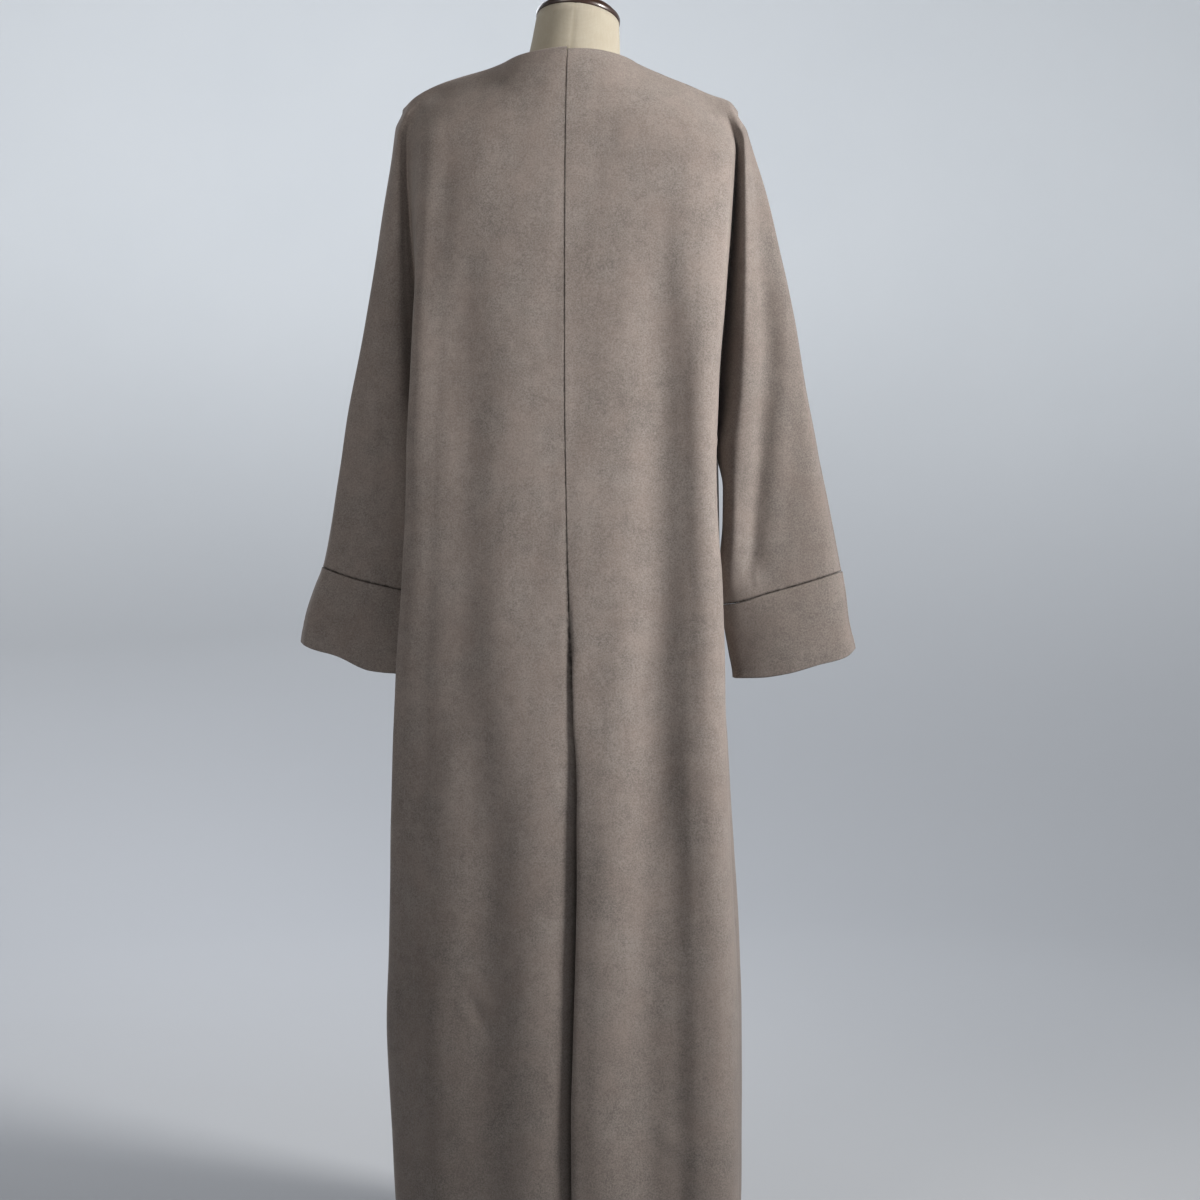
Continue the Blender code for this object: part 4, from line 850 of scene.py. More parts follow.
def running_lengths(grid: np.ndarray) -> np.ndarray:
    """Length run along each row of a grid of points, from its first point."""
    steps = np.linalg.norm(np.diff(grid, axis=1), axis=2)
    return np.concatenate([np.zeros((len(grid), 1)), np.cumsum(steps, axis=1)], axis=1)


def edge_distances(grid: np.ndarray) -> tuple[np.ndarray, np.ndarray, np.ndarray, np.ndarray]:
    """Distances of a grid's points from its four edges.

    Args:
        grid: The grid: (row, column, 3).

    Returns:
        Distances from the first and last column and from the first and last row.
    """
    along = running_lengths(grid)
    down = running_lengths(grid.transpose(1, 0, 2)).T
    return along, along[:, -1:] - along, down, down[-1:] - down


def even_places(start: float, end: float, step: float) -> np.ndarray:
    """Even places from start to just before end, about a step apart."""
    count = max(1, round((end - start) / step))
    return start + (end - start) * np.arange(count) / count


def column_places(coarseness: float) -> np.ndarray:
    """Places of the columns: close beside the seams, even between, in one list.

    Args:
        coarseness: How many times wider the even steps are than the finest ones.

    Returns:
        The places, from 0 to 1.
    """
    body, sleeve = ([even_places(start, end, step * coarseness) for start, end, step in runs]
                    for runs in (BODY_RUNS, SLEEVE_RUNS))
    return np.concatenate([SEAM_PLACES, *body, VALLEY_PLACES, *sleeve, OVERARM_PLACES])


def quads(numbers: np.ndarray) -> np.ndarray:
    """Faces between the rows and columns of a grid of point numbers."""
    corners = (numbers[:-1, :-1], numbers[:-1, 1:], numbers[1:, 1:], numbers[1:, :-1])
    return np.stack(corners, axis=-1).reshape(-1, 4)


@dataclass
class PanelSheet:
    """Builds one panel's sheet: an upper grid, and a body and a sleeve grid below it."""

    form: PanelForm
    coarseness: float = 1.0
    upper_rows: int = 76
    body_rows: int = 150
    sleeve_rows: int = 26

    def build(self) -> Sheet:
        """Builds the sheet, with its creases laid in.


        Returns:
            The sheet.
        """
        places = column_places(self.coarseness)
        valley = int(np.argmin(np.abs(places - AT_VALLEY)))
        upper = self.ease_neck_point(places, self.upper_grid(places))
        body = self.body_grid(places[:valley + 1])
        sleeve = self.sleeve_grid(places[valley:])
        sheet = self.joined(places, valley, upper, body, sleeve)
        self.lay_creases(sheet)
        self.step_neckline(sheet)
        sheet.draw_back(SEAM_HALF_GAP)
        return sheet

    def upper_grid(self, places: np.ndarray) -> np.ndarray:
        """Rows from the top edge down to the underarm level.

        Args:
            places: Places of the grid's columns.

        Returns:
            The grid: (row, column, 3).
        """
        rows = round(self.upper_rows / self.coarseness)
        shares = np.concatenate([UPPER_SHARES, np.linspace(UPPER_EVEN_START, 1.0, rows)])
        count = len(places)
        flat = self.form.upper_points(np.tile(places, len(shares)), np.repeat(shares, count))
        return flat.reshape(len(shares), count, 3)

    def ease_neck_point(self, places: np.ndarray, grid: np.ndarray) -> np.ndarray:
        """Spreads the bend that starts at the neck point over the cloth beside it.

        Args:
            places: Places of the grid's columns.
            grid: The upper grid.

        Returns:
            The grid, with its top edge as it was.
        """
        apart = places[:, None] - places[None, :]
        weights = np.exp(-(apart / NECK_EASE_SPREAD) ** 2) * np.gradient(places)
        weights /= weights.sum(axis=1, keepdims=True)
        spread = np.einsum("ij,rjk->rik", weights, grid)
        low, high = NECK_EASE_HEIGHTS
        share = np.exp(-((places - AT_NECK_POINT) / NECK_EASE_REACH) ** 2)[None, :]
        share = share * smooth_step(edge_distances(grid)[2] / NECK_EASE_DROP)
        share = share * smooth_step((grid[:, :, 2] - low) / (high - low))
        return grid + (spread - grid) * share[:, :, None]

    def body_grid(self, places: np.ndarray) -> np.ndarray:
        """Rows from the underarm level down to the hem, the first one left out.

        Args:
            places: Places of the grid's columns.

        Returns:
            The grid: (row, column, 3).
        """
        rows = round(self.body_rows / self.coarseness)
        even = np.linspace(UNDERARM_HEIGHT, HEM_HEIGHT + HEM_STEPS[0] + EVEN_ROWS_END, rows)[1:]
        heights = np.concatenate([even, HEM_HEIGHT + HEM_STEPS])
        flat = self.form.leg_points(np.tile(places, len(heights)), np.repeat(heights, len(places)),
                                    Leg.BODY)
        return flat.reshape(len(heights), len(places), 3)

    def sleeve_grid(self, places: np.ndarray) -> np.ndarray:
        """Rows from the underarm level down to the cuff seam, the first one left out.

        Args:
            places: Places of the grid's columns.

        Returns:
            The grid: (row, column, 3).
        """
        rows = round(self.sleeve_rows / self.coarseness)
        ends = self.form.edge_height(CUFF_SEAM[self.form.side.value], places)
        grid = []
        for share in np.linspace(0.0, 1.0, rows)[1:]:
            heights = UNDERARM_HEIGHT + (ends + SEAM_STEPS[0] + EVEN_ROWS_END - UNDERARM_HEIGHT) * share
            grid.append(self.form.leg_points(places, heights, Leg.SLEEVE))
        for step in SEAM_STEPS:
            grid.append(self.form.leg_points(places, ends + step, Leg.SLEEVE))
        return np.array(grid)

    def joined(self, places: np.ndarray, valley: int, upper: np.ndarray, body: np.ndarray,
               sleeve: np.ndarray) -> Sheet:
        """One sheet from the three grids, with each point's distances from the edges.

        Args:
            places: Places of all columns.
            valley: The column that body and sleeve share.
            upper: The upper grid.
            body: The body's grid.
            sleeve: The sleeve's grid.

        Returns:
            The sheet, with no creases yet.
        """
        back = self.form.face is Face.BACK
        body_all = np.concatenate([upper[-1:, :valley + 1], body])
        sleeve_all = np.concatenate([upper[-1:, valley:], sleeve])
        numbers_upper = np.arange(upper.shape[0] * upper.shape[1]).reshape(upper.shape[:2])
        start = numbers_upper.size
        numbers_body = start + np.arange(body.shape[0] * body.shape[1]).reshape(body.shape[:2])
        start += numbers_body.size
        numbers_sleeve = start + np.arange(sleeve.shape[0] * sleeve.shape[1]).reshape(sleeve.shape[:2])
        grids = (numbers_upper, np.concatenate([numbers_upper[-1:, :valley + 1], numbers_body]),
                 np.concatenate([numbers_upper[-1:, valley:], numbers_sleeve]))
        points = np.concatenate([upper.reshape(-1, 3), body.reshape(-1, 3), sleeve.reshape(-1, 3)])
        all_faces = np.concatenate([quads(numbers) for numbers in grids])
        if back != (self.form.side is Side.LEFT):
            all_faces = all_faces[:, ::-1]
        first, last, top, _ = edge_distances(upper)
        on_neck = places <= AT_NECK_POINT
        neck_point = upper[0, int(np.argmin(np.abs(places - AT_NECK_POINT)))]
        neck_corner = np.linalg.norm(upper - neck_point, axis=2)
        sewn_upper = np.minimum(last, np.where(on_neck, neck_corner, top))
        corner = np.linalg.norm(upper - upper[-1, valley], axis=2)
        sewn_upper = np.minimum(sewn_upper, corner)
        neck_upper = np.where(on_neck, top, neck_corner)
        hem_upper = np.full_like(first, FAR)
        first_body, sewn_body, _, hem_body = edge_distances(body_all)
        if back:
            sewn_upper = np.minimum(sewn_upper, first)
            sewn_body = np.minimum(sewn_body, first_body)
        else:
            hem_upper = np.minimum(hem_upper, first)
            hem_body = np.minimum(hem_body, first_body)
        first_sleeve, last_sleeve, _, bottom_sleeve = edge_distances(sleeve_all)
        sewn_sleeve = np.minimum(np.minimum(first_sleeve, last_sleeve), bottom_sleeve)

        def flat(upper_part: np.ndarray, body_part: np.ndarray, sleeve_part: np.ndarray) -> np.ndarray:
            """One value a point, from the three grids in the sheet's order."""
            return np.concatenate([upper_part.ravel(), body_part[1:].ravel(), sleeve_part[1:].ravel()])

        far_body, far_sleeve = np.full_like(sewn_body, FAR), np.full_like(sewn_sleeve, FAR)
        all_places = flat(np.tile(places, (len(upper), 1)), np.tile(places[:valley + 1], (len(body_all), 1)),
                          np.tile(places[valley:], (len(sleeve_all), 1)))
        sheet = Sheet(points, all_faces, all_places, flat(sewn_upper, sewn_body, sewn_sleeve),
                      flat(neck_upper, far_body, far_sleeve), flat(hem_upper, hem_body, far_sleeve))
        if back:
            sheet.fold = self.form.centre(points[:, 2])[2] / FULL_FOLD
        self.note_pulls(sheet, grids, places, valley, back)
        return sheet

    def note_pulls(self, sheet: Sheet, grids: tuple[np.ndarray, ...], places: np.ndarray, valley: int,
                   back: bool) -> None:
        """Notes which points lie on sewn edges and where each is drawn back to.

        Args:
            sheet: The sheet.
            grids: The numbers of its points in its three grids.
            places: Places of all columns.
            valley: The column that body and sleeve share.
            back: Whether the centre edge is sewn too.
        """
        upper, body, sleeve = grids
        neck_point = int(np.argmin(np.abs(places - AT_NECK_POINT)))
        edges = [(upper[0, neck_point:], upper[1, neck_point:]),
                 (upper[:, -1], upper[:, -2]), (sleeve[1:, -1], sleeve[1:, -2]),
                 (body[1:, -1], body[1:, -2]), (sleeve[1:, 0], sleeve[1:, 1]),
                 (upper[-1:, valley], upper[-2:-1, valley]), (sleeve[-1], sleeve[-2])]
        if back:
            edges += [(upper[:, 0], upper[:, 1]), (body[1:, 0], body[1:, 1])]
        for edge, inside in edges:
            for point, inner in zip(edge, inside):
                sheet.pulls.setdefault(int(point), []).append(int(inner))

    def lay_creases(self, sheet: Sheet) -> None:
        """Lifts the sheet along its normals by the listed creases and a slight unevenness.

        Args:
            sheet: The sheet, which is changed.
        """
        outward = self.form.mirror * sheet.points[:, 0]
        height = sheet.points[:, 2]
        lift = np.zeros(len(height))
        for crease in CREASES[(self.form.face, self.form.side)]:
            lift += crease.rise(outward, height, sheet.place)
        lift += hand_unevenness(sheet.points)
        fade = smooth_step(np.minimum(sheet.sewn, np.minimum(sheet.hem, sheet.neck)) / CREASE_FADE)
        sheet.points = sheet.points + sheet.normals() * (lift * fade)[:, None]

    def step_neckline(self, sheet: Sheet) -> None:
        """Lets the left back's neck corner stand a little above the right one's.

        Args:
            sheet: The sheet, which is changed.
        """
        if self.form.face is not Face.BACK:
            return
        near_centre = 1.0 - smooth_step(np.abs(sheet.points[:, 0]) / NECK_STEP_REACH)
        near_top = 1.0 - smooth_step((NECK_BACK_HEIGHT - sheet.points[:, 2]) / NECK_STEP_REACH)
        sheet.points[:, 2] += self.form.mirror * NECK_STEP * near_centre * near_top


def hand_unevenness(points: np.ndarray) -> np.ndarray:
    """Slight slow waves of hanging cloth, from a few waves with no common length.

    Args:
        points: The points of a sheet: (n, 3).

    Returns:
        A lift for each point, under a millimetre.
    """
    x, y, z = points.T
    waves = sum(share * np.sin(x * by_x + y * by_y + z * by_z + begin)
                for share, by_x, by_y, by_z, begin in WAVES)
    return waves * UNEVENNESS


def cuff_sheet(side: Side) -> Sheet:
    """A cuff's middle surface: a sloping band closed round the sleeve's end.

    Args:
        side: The wearer's side.

    Returns:
        The sheet.
    """
    halves = (PanelForm(Face.BACK, side), PanelForm(Face.FRONT, side))
    places = column_places(1.0)
    own = places[places >= AT_VALLEY - PLACE_SLACK]
    loops = []
    ends = [form.edge_height(CUFF_SEAM[side.value], own) for form in halves]
    hems = [form.edge_height(CUFF_HEM[side.value], own) for form in halves]
    rows = np.concatenate([CUFF_SHARES, np.linspace(*CUFF_EVEN_ROWS), 1.0 - CUFF_SHARES[::-1]])
    for share in rows:
        back = halves[0].leg_points(own, ends[0] + (hems[0] - ends[0]) * share, Leg.SLEEVE)
        front = halves[1].leg_points(own, ends[1] + (hems[1] - ends[1]) * share, Leg.SLEEVE)
        loops.append(np.concatenate([back, front[::-1][1:-1]]))
    grid = np.array(loops)
    count = grid.shape[1]
    numbers = np.arange(grid.shape[0] * count).reshape(grid.shape[:2])
    faces = quads(np.concatenate([numbers, numbers[:, :1]], axis=1))
    if side is Side.RIGHT:
        faces = faces[:, ::-1]
    down = running_lengths(grid.transpose(1, 0, 2)).T
    far = np.full(grid.shape[:2], FAR)
    all_places = np.concatenate([own, own[::-1][1:-1]])
    sheet = Sheet(grid.reshape(-1, 3), faces, np.tile(all_places, len(rows)), down.ravel(), far.ravel(),
                  (down[-1:] - down).ravel())
    for point, inner in zip(numbers[0], numbers[1]):
        sheet.pulls[int(point)] = [int(inner)]
    lift = hand_unevenness(sheet.points)
    line_share = sheet.hem / CUFF_TURN
    lift -= CUFF_TURN_DIP * np.exp(-((line_share - 1.0) / CUFF_TURN_SOFTNESS) ** 2)
    fade = smooth_step(np.minimum(sheet.sewn, sheet.hem) / CREASE_FADE)
    sheet.points = sheet.points + sheet.normals() * (lift * fade)[:, None]
    sheet.draw_back(CUFF_SEAM_GAP)
    return sheet


def edge_roll(distance: np.ndarray, reach: float) -> np.ndarray:
    """Share of the wall's half thickness left near an edge that rolls under."""
    share = np.clip(distance / reach, 0.0, 1.0)
    return np.maximum(np.sqrt(1.0 - (1.0 - share) ** 2), THINNEST)


def shell_object(name: str, sheet: Sheet, wall: float, turned: bool) -> bpy.types.Object:
    """A closed shell on a sheet, rolled at its seams and thicker where its edges are turned.

    Args:
        name: The piece's name.
        sheet: The middle surface.
        wall: The cloth's thickness.
        turned: Whether the open edges are turned double.

    Returns:
        The new object, linked to the scene.
    """
    normals = sheet.normals()
    roll = np.minimum(edge_roll(sheet.sewn, SEAM_ROUNDING), edge_roll(sheet.neck, EDGE_ROUNDING))
    roll = np.minimum(roll, edge_roll(sheet.hem, max(wall / 2, EDGE_ROUNDING)))
    double = np.zeros(len(roll))
    if turned:
        double = np.maximum(1.0 - smooth_step((sheet.hem - HEM_TURN + TURN_STEP / 2) / TURN_STEP),
                            1.0 - smooth_step((sheet.neck - NECK_TURN + TURN_STEP / 2) / TURN_STEP))
    outer = sheet.points + normals * (roll * (wall / 2 + TURN_OUTSIDE * double))[:, None]
    inner = sheet.points - normals * (roll * (wall / 2 + TURN_INSIDE * double))[:, None]
    count = len(outer)
    edges = np.concatenate([sheet.faces[:, [i, (i + 1) % 4]] for i in range(4)])
    keys = edges[:, 0].astype(np.int64) * count + edges[:, 1]
    turned_keys = edges[:, 1].astype(np.int64) * count + edges[:, 0]
    rim = edges[~np.isin(keys, turned_keys)]
    rim_faces = np.stack([rim[:, 1], rim[:, 0], rim[:, 0] + count, rim[:, 1] + count], axis=1)
    faces = np.concatenate([sheet.faces, sheet.faces[:, ::-1] + count, rim_faces])
    mesh = bpy.data.meshes.new(name)
    mesh.from_pydata(np.concatenate([outer, inner]).tolist(), [], faces.tolist())
    mesh.update()
    mesh.shade_smooth()
    fold = sheet.fold + np.zeros(len(sheet.sewn))
    # distance from a seam in line widths: the pressed seam line, widened into painted shadow inside the open
    # centre back fold
    seam_and_painted_shade = sheet.sewn / (SEAM_LINE + FOLD_SHADE_WIDTH * fold)
    for label, values in (("sewn", seam_and_painted_shade), ("turned", double), ("fold", fold)):
        attribute = mesh.attributes.new(label, "FLOAT", "POINT")
        attribute.data.foreach_set("value", np.tile(values, 2).astype(np.float32))
    piece = bpy.data.objects.new(name, mesh)
    bpy.context.scene.collection.objects.link(piece)
    return piece


# ---- finishes --------------------------------------------------------------------------
def linear(code: str) -> tuple[float, float, float, float]:
    """A linear colour from an sRGB hex code, by the curve of the sRGB standard."""
    parts = [int(code[i:i + 2], 16) / 255.0 for i in (1, 3, 5)]
    low = [p / 12.92 if p <= 0.04045 else ((p + 0.055) / 1.055) ** 2.4 for p in parts]
    return (low[0], low[1], low[2], 1.0)


def plug(tree: bpy.types.NodeTree, node: bpy.types.Node, inputs: dict[int | str, Value]) -> None:
    """Links a node's inputs to other nodes' outputs, or sets them.

    Args:
        tree: The node tree.
        node: The node.
        inputs: A value or another node's output for each named or numbered socket.
    """
    for name, value in inputs.items():
        if isinstance(value, bpy.types.NodeSocket):
            tree.links.new(value, node.inputs[name])
        else:
            node.inputs[name].default_value = value


def add_node(tree: bpy.types.NodeTree, kind: str, inputs: dict[int | str, Value] | None = None,
             output: int | str = 0, **settings: object) -> bpy.types.NodeSocket:
    """Adds a shader node with its settings and links.

    Args:
        tree: The node tree.
        kind: The node's type name, without the beginning that all of them share.
        inputs: A value or another node's output for each named or numbered socket.
        output: The socket whose output is handed on.
        settings: The node's own properties.

    Returns:
        The new node's output.
    """
    node = tree.nodes.new(f"ShaderNode{kind}")
    for name, value in settings.items():
        setattr(node, name, value)
    plug(tree, node, inputs or {})
    return node.outputs[output]


def fresh_material(name: str, code: str) -> tuple[bpy.types.Material, bpy.types.NodeTree, bpy.types.Node]:
    """A new material.

    Args:
        name: The finish's name.
        code: Its colour where only a plain one is shown.

    Returns:
        The material, its tree and its shader.
    """
    material = bpy.data.materials.new(name)
    material.use_nodes = True
    material.diffuse_color = linear(code)
    tree = material.node_tree
    return material, tree, tree.nodes["Principled BSDF"]


@dataclass(frozen=True)
class FauxSuede:
    """Faux suede: a brushed polyester microfibre, dyed taupe, with a short soft nap.

    The nap scatters light with hardly a gloss, catches a pale sheen at a glancing angle, and
    lies this way and that in soft clouds and faint upright streaks where hands have stroked it.
    """

    name: str
    shade: str = "#776F6A"
    light: str = "#877F7A"
    dark: str = "#665F5B"
    warm: str = "#82746D"
    # near black: the pressed seam line, and painted shade in the centre back fold, on the right sleeve and on
    # the skirt
    seam_and_painted_shade: str = "#211D1B"
    cloud: float = 85.0 * MM
    patch: float = 17.0 * MM
    blush: float = 39.1 * MM
    streak: float = 9.0 * MM
    streak_length: float = 260.0 * MM
    nap: float = 1.9 * MM          # real nap is about 0.3 mm; drawn as coarse as it needs to show
    stitch: float = 7.0 * MM       # about two stitches
    cloud_grain: tuple[float, float] = (3.0, 0.55)   # detail and roughness of each layer
    patch_grain: tuple[float, float] = (4.0, 0.62)
    streak_grain: tuple[float, float] = (3.0, 0.6)
    nap_grain: tuple[float, float] = (2.0, 0.7)
    blush_grain: tuple[float, float] = (2.0, 0.5)
    stitch_grain: tuple[float, float] = (2.0, 0.6)
    cloud_strength: float = 0.40   # how far each layer moves the shade from dark to light
    patch_strength: float = 0.50
    streak_strength: float = 0.14
    nap_strength: float = 1.35
    blush_range: tuple[float, float] = (-0.25, 0.55)
    roughness: tuple[float, float] = (0.82, 0.96)
    gloss: float = 0.25
    sheen: float = 0.22
    sheen_roughness: float = 0.45
    sheen_tint: str = "#D8CFC8"
    nap_height: float = 0.35       # shares of the bump
    patch_height: float = 0.9
    bump_strength: float = 0.35
    bump_height: float = 0.7 * MM
    sleeve_shade_share: float = 0.27     # painted shade on the right sleeve: how dark, and from where to where
    sleeve_shade_span: tuple[float, float] = (-0.25, -0.19)
    skirt_shade_share: float = 0.21      # the same painted shade on the skirt, darker towards the bottom, by height
    skirt_shade_span: tuple[float, float] = (0.20, 0.78)
    pit_span: tuple[float, float] = (0.40, 0.60)     # part of the noise that makes a pit
    between_pits: float = 0.55     # how dark a seam is between its pits, as a share of a pit

    def material(self) -> bpy.types.Material:
        """The finish as a material on Object coordinates and the cloth's own seam distance.

        Returns:
            The material.
        """
        material, tree, shader = fresh_material(self.name, self.shade)
        place = add_node(tree, "TexCoord", output="Object")
        upright = add_node(tree, "Mapping", {
            "Vector": place, "Scale": (1.0 / self.streak, 1.0 / self.streak, 1.0 / self.streak_length)})
        cloud, patch, streak, nap, blush = (
            add_node(tree, "TexNoise", {
                "Vector": where, "Scale": scale, "Detail": detail, "Roughness": rough})
            for where, scale, (detail, rough) in (
                (place, 1.0 / self.cloud, self.cloud_grain), (place, 1.0 / self.patch, self.patch_grain),
                (upright, 1.0, self.streak_grain), (place, 1.0 / self.nap, self.nap_grain),
                (place, 1.0 / self.blush, self.blush_grain)))
        share: Value = 0.5
        for layer, strength in ((cloud, self.cloud_strength), (patch, self.patch_strength),
                                (streak, self.streak_strength), (nap, self.nap_strength)):
            moved = add_node(tree, "MapRange", {0: layer, 3: -strength, 4: strength})
            share = add_node(tree, "Math", {0: share, 1: moved}, operation="ADD")
        colour = add_node(tree, "Mix", {0: share, 6: linear(self.dark), 7: linear(self.light)}, 2,
                          data_type="RGBA")
        blush_share = add_node(tree, "MapRange", {0: blush, 3: self.blush_range[0], 4: self.blush_range[1]})
        colour = add_node(tree, "Mix", {0: blush_share, 6: colour, 7: linear(self.warm)}, 2, data_type="RGBA")
        colour = self.seam_and_fold_shade(tree, place, self.painted_sleeve_and_skirt_shade(tree, place, colour))
        nap_part = add_node(tree, "Math", {0: nap, 1: self.nap_height}, operation="MULTIPLY")
        patch_part = add_node(tree, "Math", {0: patch, 1: self.patch_height}, operation="MULTIPLY")
        height = add_node(tree, "Math", {0: nap_part, 1: patch_part}, operation="ADD")
        plug(tree, shader, {
            "Base Color": colour,
            "Roughness": add_node(tree, "MapRange", {0: patch, 3: self.roughness[0], 4: self.roughness[1]}),
            "Specular IOR Level": self.gloss,
            "Sheen Weight": self.sheen,
            "Sheen Roughness": self.sheen_roughness,
            "Sheen Tint": linear(self.sheen_tint),
            "Normal": add_node(tree, "Bump", {
                "Strength": self.bump_strength, "Distance": self.bump_height, "Height": height})})
        return material

    def painted_sleeve_and_skirt_shade(self, tree: bpy.types.NodeTree, place: Value, colour: Value) -> bpy.types.NodeSocket:
        """Paints shade into the colour: the right sleeve darker, and the skirt darker towards the bottom.

        Args:
            tree: The node tree.
            place: The Object coordinates.
            colour: The cloth's colour so far.

        Returns:
            The colour with painted shade on the two.
        """
        outward = add_node(tree, "SeparateXYZ", {0: place}, "X")
        height = add_node(tree, "SeparateXYZ", {0: place}, "Z")
        # painted shade: darker on the right sleeve and towards the bottom of the skirt
        sleeve = add_node(tree, "MapRange", {
            0: outward, 1: self.sleeve_shade_span[0], 2: self.sleeve_shade_span[1], 3: self.sleeve_shade_share, 4: 0.0})
        skirt = add_node(tree, "MapRange", {
            0: height, 1: self.skirt_shade_span[0], 2: self.skirt_shade_span[1], 3: self.skirt_shade_share, 4: 0.0},
            interpolation_type="SMOOTHSTEP")
        share = add_node(tree, "Math", {0: sleeve, 1: skirt}, operation="MAXIMUM")
        return add_node(tree, "Mix", {0: share, 6: colour, 7: linear(self.seam_and_painted_shade)}, 2, data_type="RGBA")

    def seam_and_fold_shade(self, tree: bpy.types.NodeTree, place: Value, colour: Value) -> bpy.types.NodeSocket:
        """Darkens the nap pressed into a seam, with darker pits where stitches pull it, and paints shadow
        evenly into the open centre back fold.

        Args:
            tree: The node tree.
            place: The Object coordinates.
            colour: The cloth's colour so far.

        Returns:
            The colour with the seams darkened and painted shadow in the open centre fold.
        """
        away = add_node(tree, "Attribute", output="Fac", attribute_name="sewn")
        squared = add_node(tree, "Math", {0: away, 1: away}, operation="MULTIPLY")
        lowered = add_node(tree, "Math", {0: squared, 1: -1.0}, operation="MULTIPLY")
        near = add_node(tree, "Math", {0: lowered}, operation="EXPONENT")
        pits = add_node(tree, "TexNoise", {
            "Vector": place, "Scale": 1.0 / self.stitch, "Detail": self.stitch_grain[0],
            "Roughness": self.stitch_grain[1]})
        spread = add_node(tree, "MapRange", {
            0: pits, 1: self.pit_span[0], 2: self.pit_span[1], 3: self.between_pits, 4: 1.0})
        # painted shadow: where the centre fold is open the darkening is even, with no pits
        fold = add_node(tree, "Attribute", output="Fac", attribute_name="fold")
        even = add_node(tree, "Math", {0: spread, 1: fold}, operation="MAXIMUM")
        share = add_node(tree, "Math", {0: near, 1: even}, operation="MULTIPLY")
        return add_node(tree, "Mix", {0: share, 6: colour, 7: linear(self.seam_and_painted_shade)}, 2, data_type="RGBA")


WAVE_LENGTH = math.pi / 10.0    # length of one band of the wave texture at a scale of 1


@dataclass(frozen=True)
class PlainLinen:
    """Plain-woven cream linen stretched over the form: a dull, even cloth with slubbed threads."""

    name: str
    shade: str = "#AAA496"
    shadow: str = "#938A79"
    seam: str = "#7C745F"
    seam_share: float = 0.20
    thread: float = 1.6 * MM       # real threads are 0.6 mm; drawn as coarse as they need to show
    slubs: tuple[float, float, float] = (420.0, 420.0, 60.0)   # how many a metre each way
    clouds: float = 22.0           # how many a metre
    detail: float = 3.0
    unevenness: float = 1.6        # how far the threads wander
    wave_detail: tuple[float, float] = (2.0, 1.4)
    weave_range: tuple[float, float] = (0.45, 0.95)
    slub_strength: float = 0.22
    cloud_strength: float = 0.30
    roughness: float = 0.9
    sheen: float = 0.1
    gloss: float = 0.25
    bump_strength: float = 0.4
    bump_height: float = 0.35 * MM

    def material(self) -> bpy.types.Material:
        """The finish as a material on the form's own wrapped measure.

        Returns:
            The material.
        """
        material, tree, shader = fresh_material(self.name, self.shade)
        wrap = add_node(tree, "UVMap", uv_map="wrap")
        place = add_node(tree, "TexCoord", output="Object")
        threads = {"Vector": wrap, "Scale": WAVE_LENGTH / self.thread, "Distortion": self.unevenness,
                   "Detail": self.wave_detail[0], "Detail Scale": self.wave_detail[1]}
        warp, weft = (add_node(tree, "TexWave", threads, "Fac", wave_type="BANDS", bands_direction=way)
                      for way in ("X", "Y"))
        weave = add_node(tree, "Math", {0: warp, 1: weft}, operation="MULTIPLY")
        slub = add_node(tree, "TexNoise", {
            "Vector": add_node(tree, "Mapping", {"Vector": place, "Scale": self.slubs}),
            "Scale": 1.0, "Detail": self.detail})
        cloud = add_node(tree, "TexNoise", {"Vector": place, "Scale": self.clouds, "Detail": self.detail})
        share = add_node(tree, "MapRange", {0: weave, 3: self.weave_range[0], 4: self.weave_range[1]})
        for layer, strength in ((slub, self.slub_strength), (cloud, self.cloud_strength)):
            moved = add_node(tree, "MapRange", {0: layer, 3: -strength, 4: strength})
            share = add_node(tree, "Math", {0: share, 1: moved}, operation="ADD")
        colour = add_node(tree, "Mix", {0: share, 6: linear(self.shadow), 7: linear(self.shade)}, 2,
                          data_type="RGBA")
        near = add_node(tree, "Attribute", output="Fac", attribute_name="seam")
        seam_share = add_node(tree, "Math", {0: near, 1: self.seam_share}, operation="MULTIPLY")
        plug(tree, shader, {
            "Base Color": add_node(tree, "Mix", {0: seam_share, 6: colour, 7: linear(self.seam)}, 2,
                                   data_type="RGBA"),
            "Roughness": self.roughness,
            "Sheen Weight": self.sheen,
            "Specular IOR Level": self.gloss,
            "Normal": add_node(tree, "Bump", {
                "Strength": self.bump_strength, "Distance": self.bump_height, "Height": weave})})
        return material


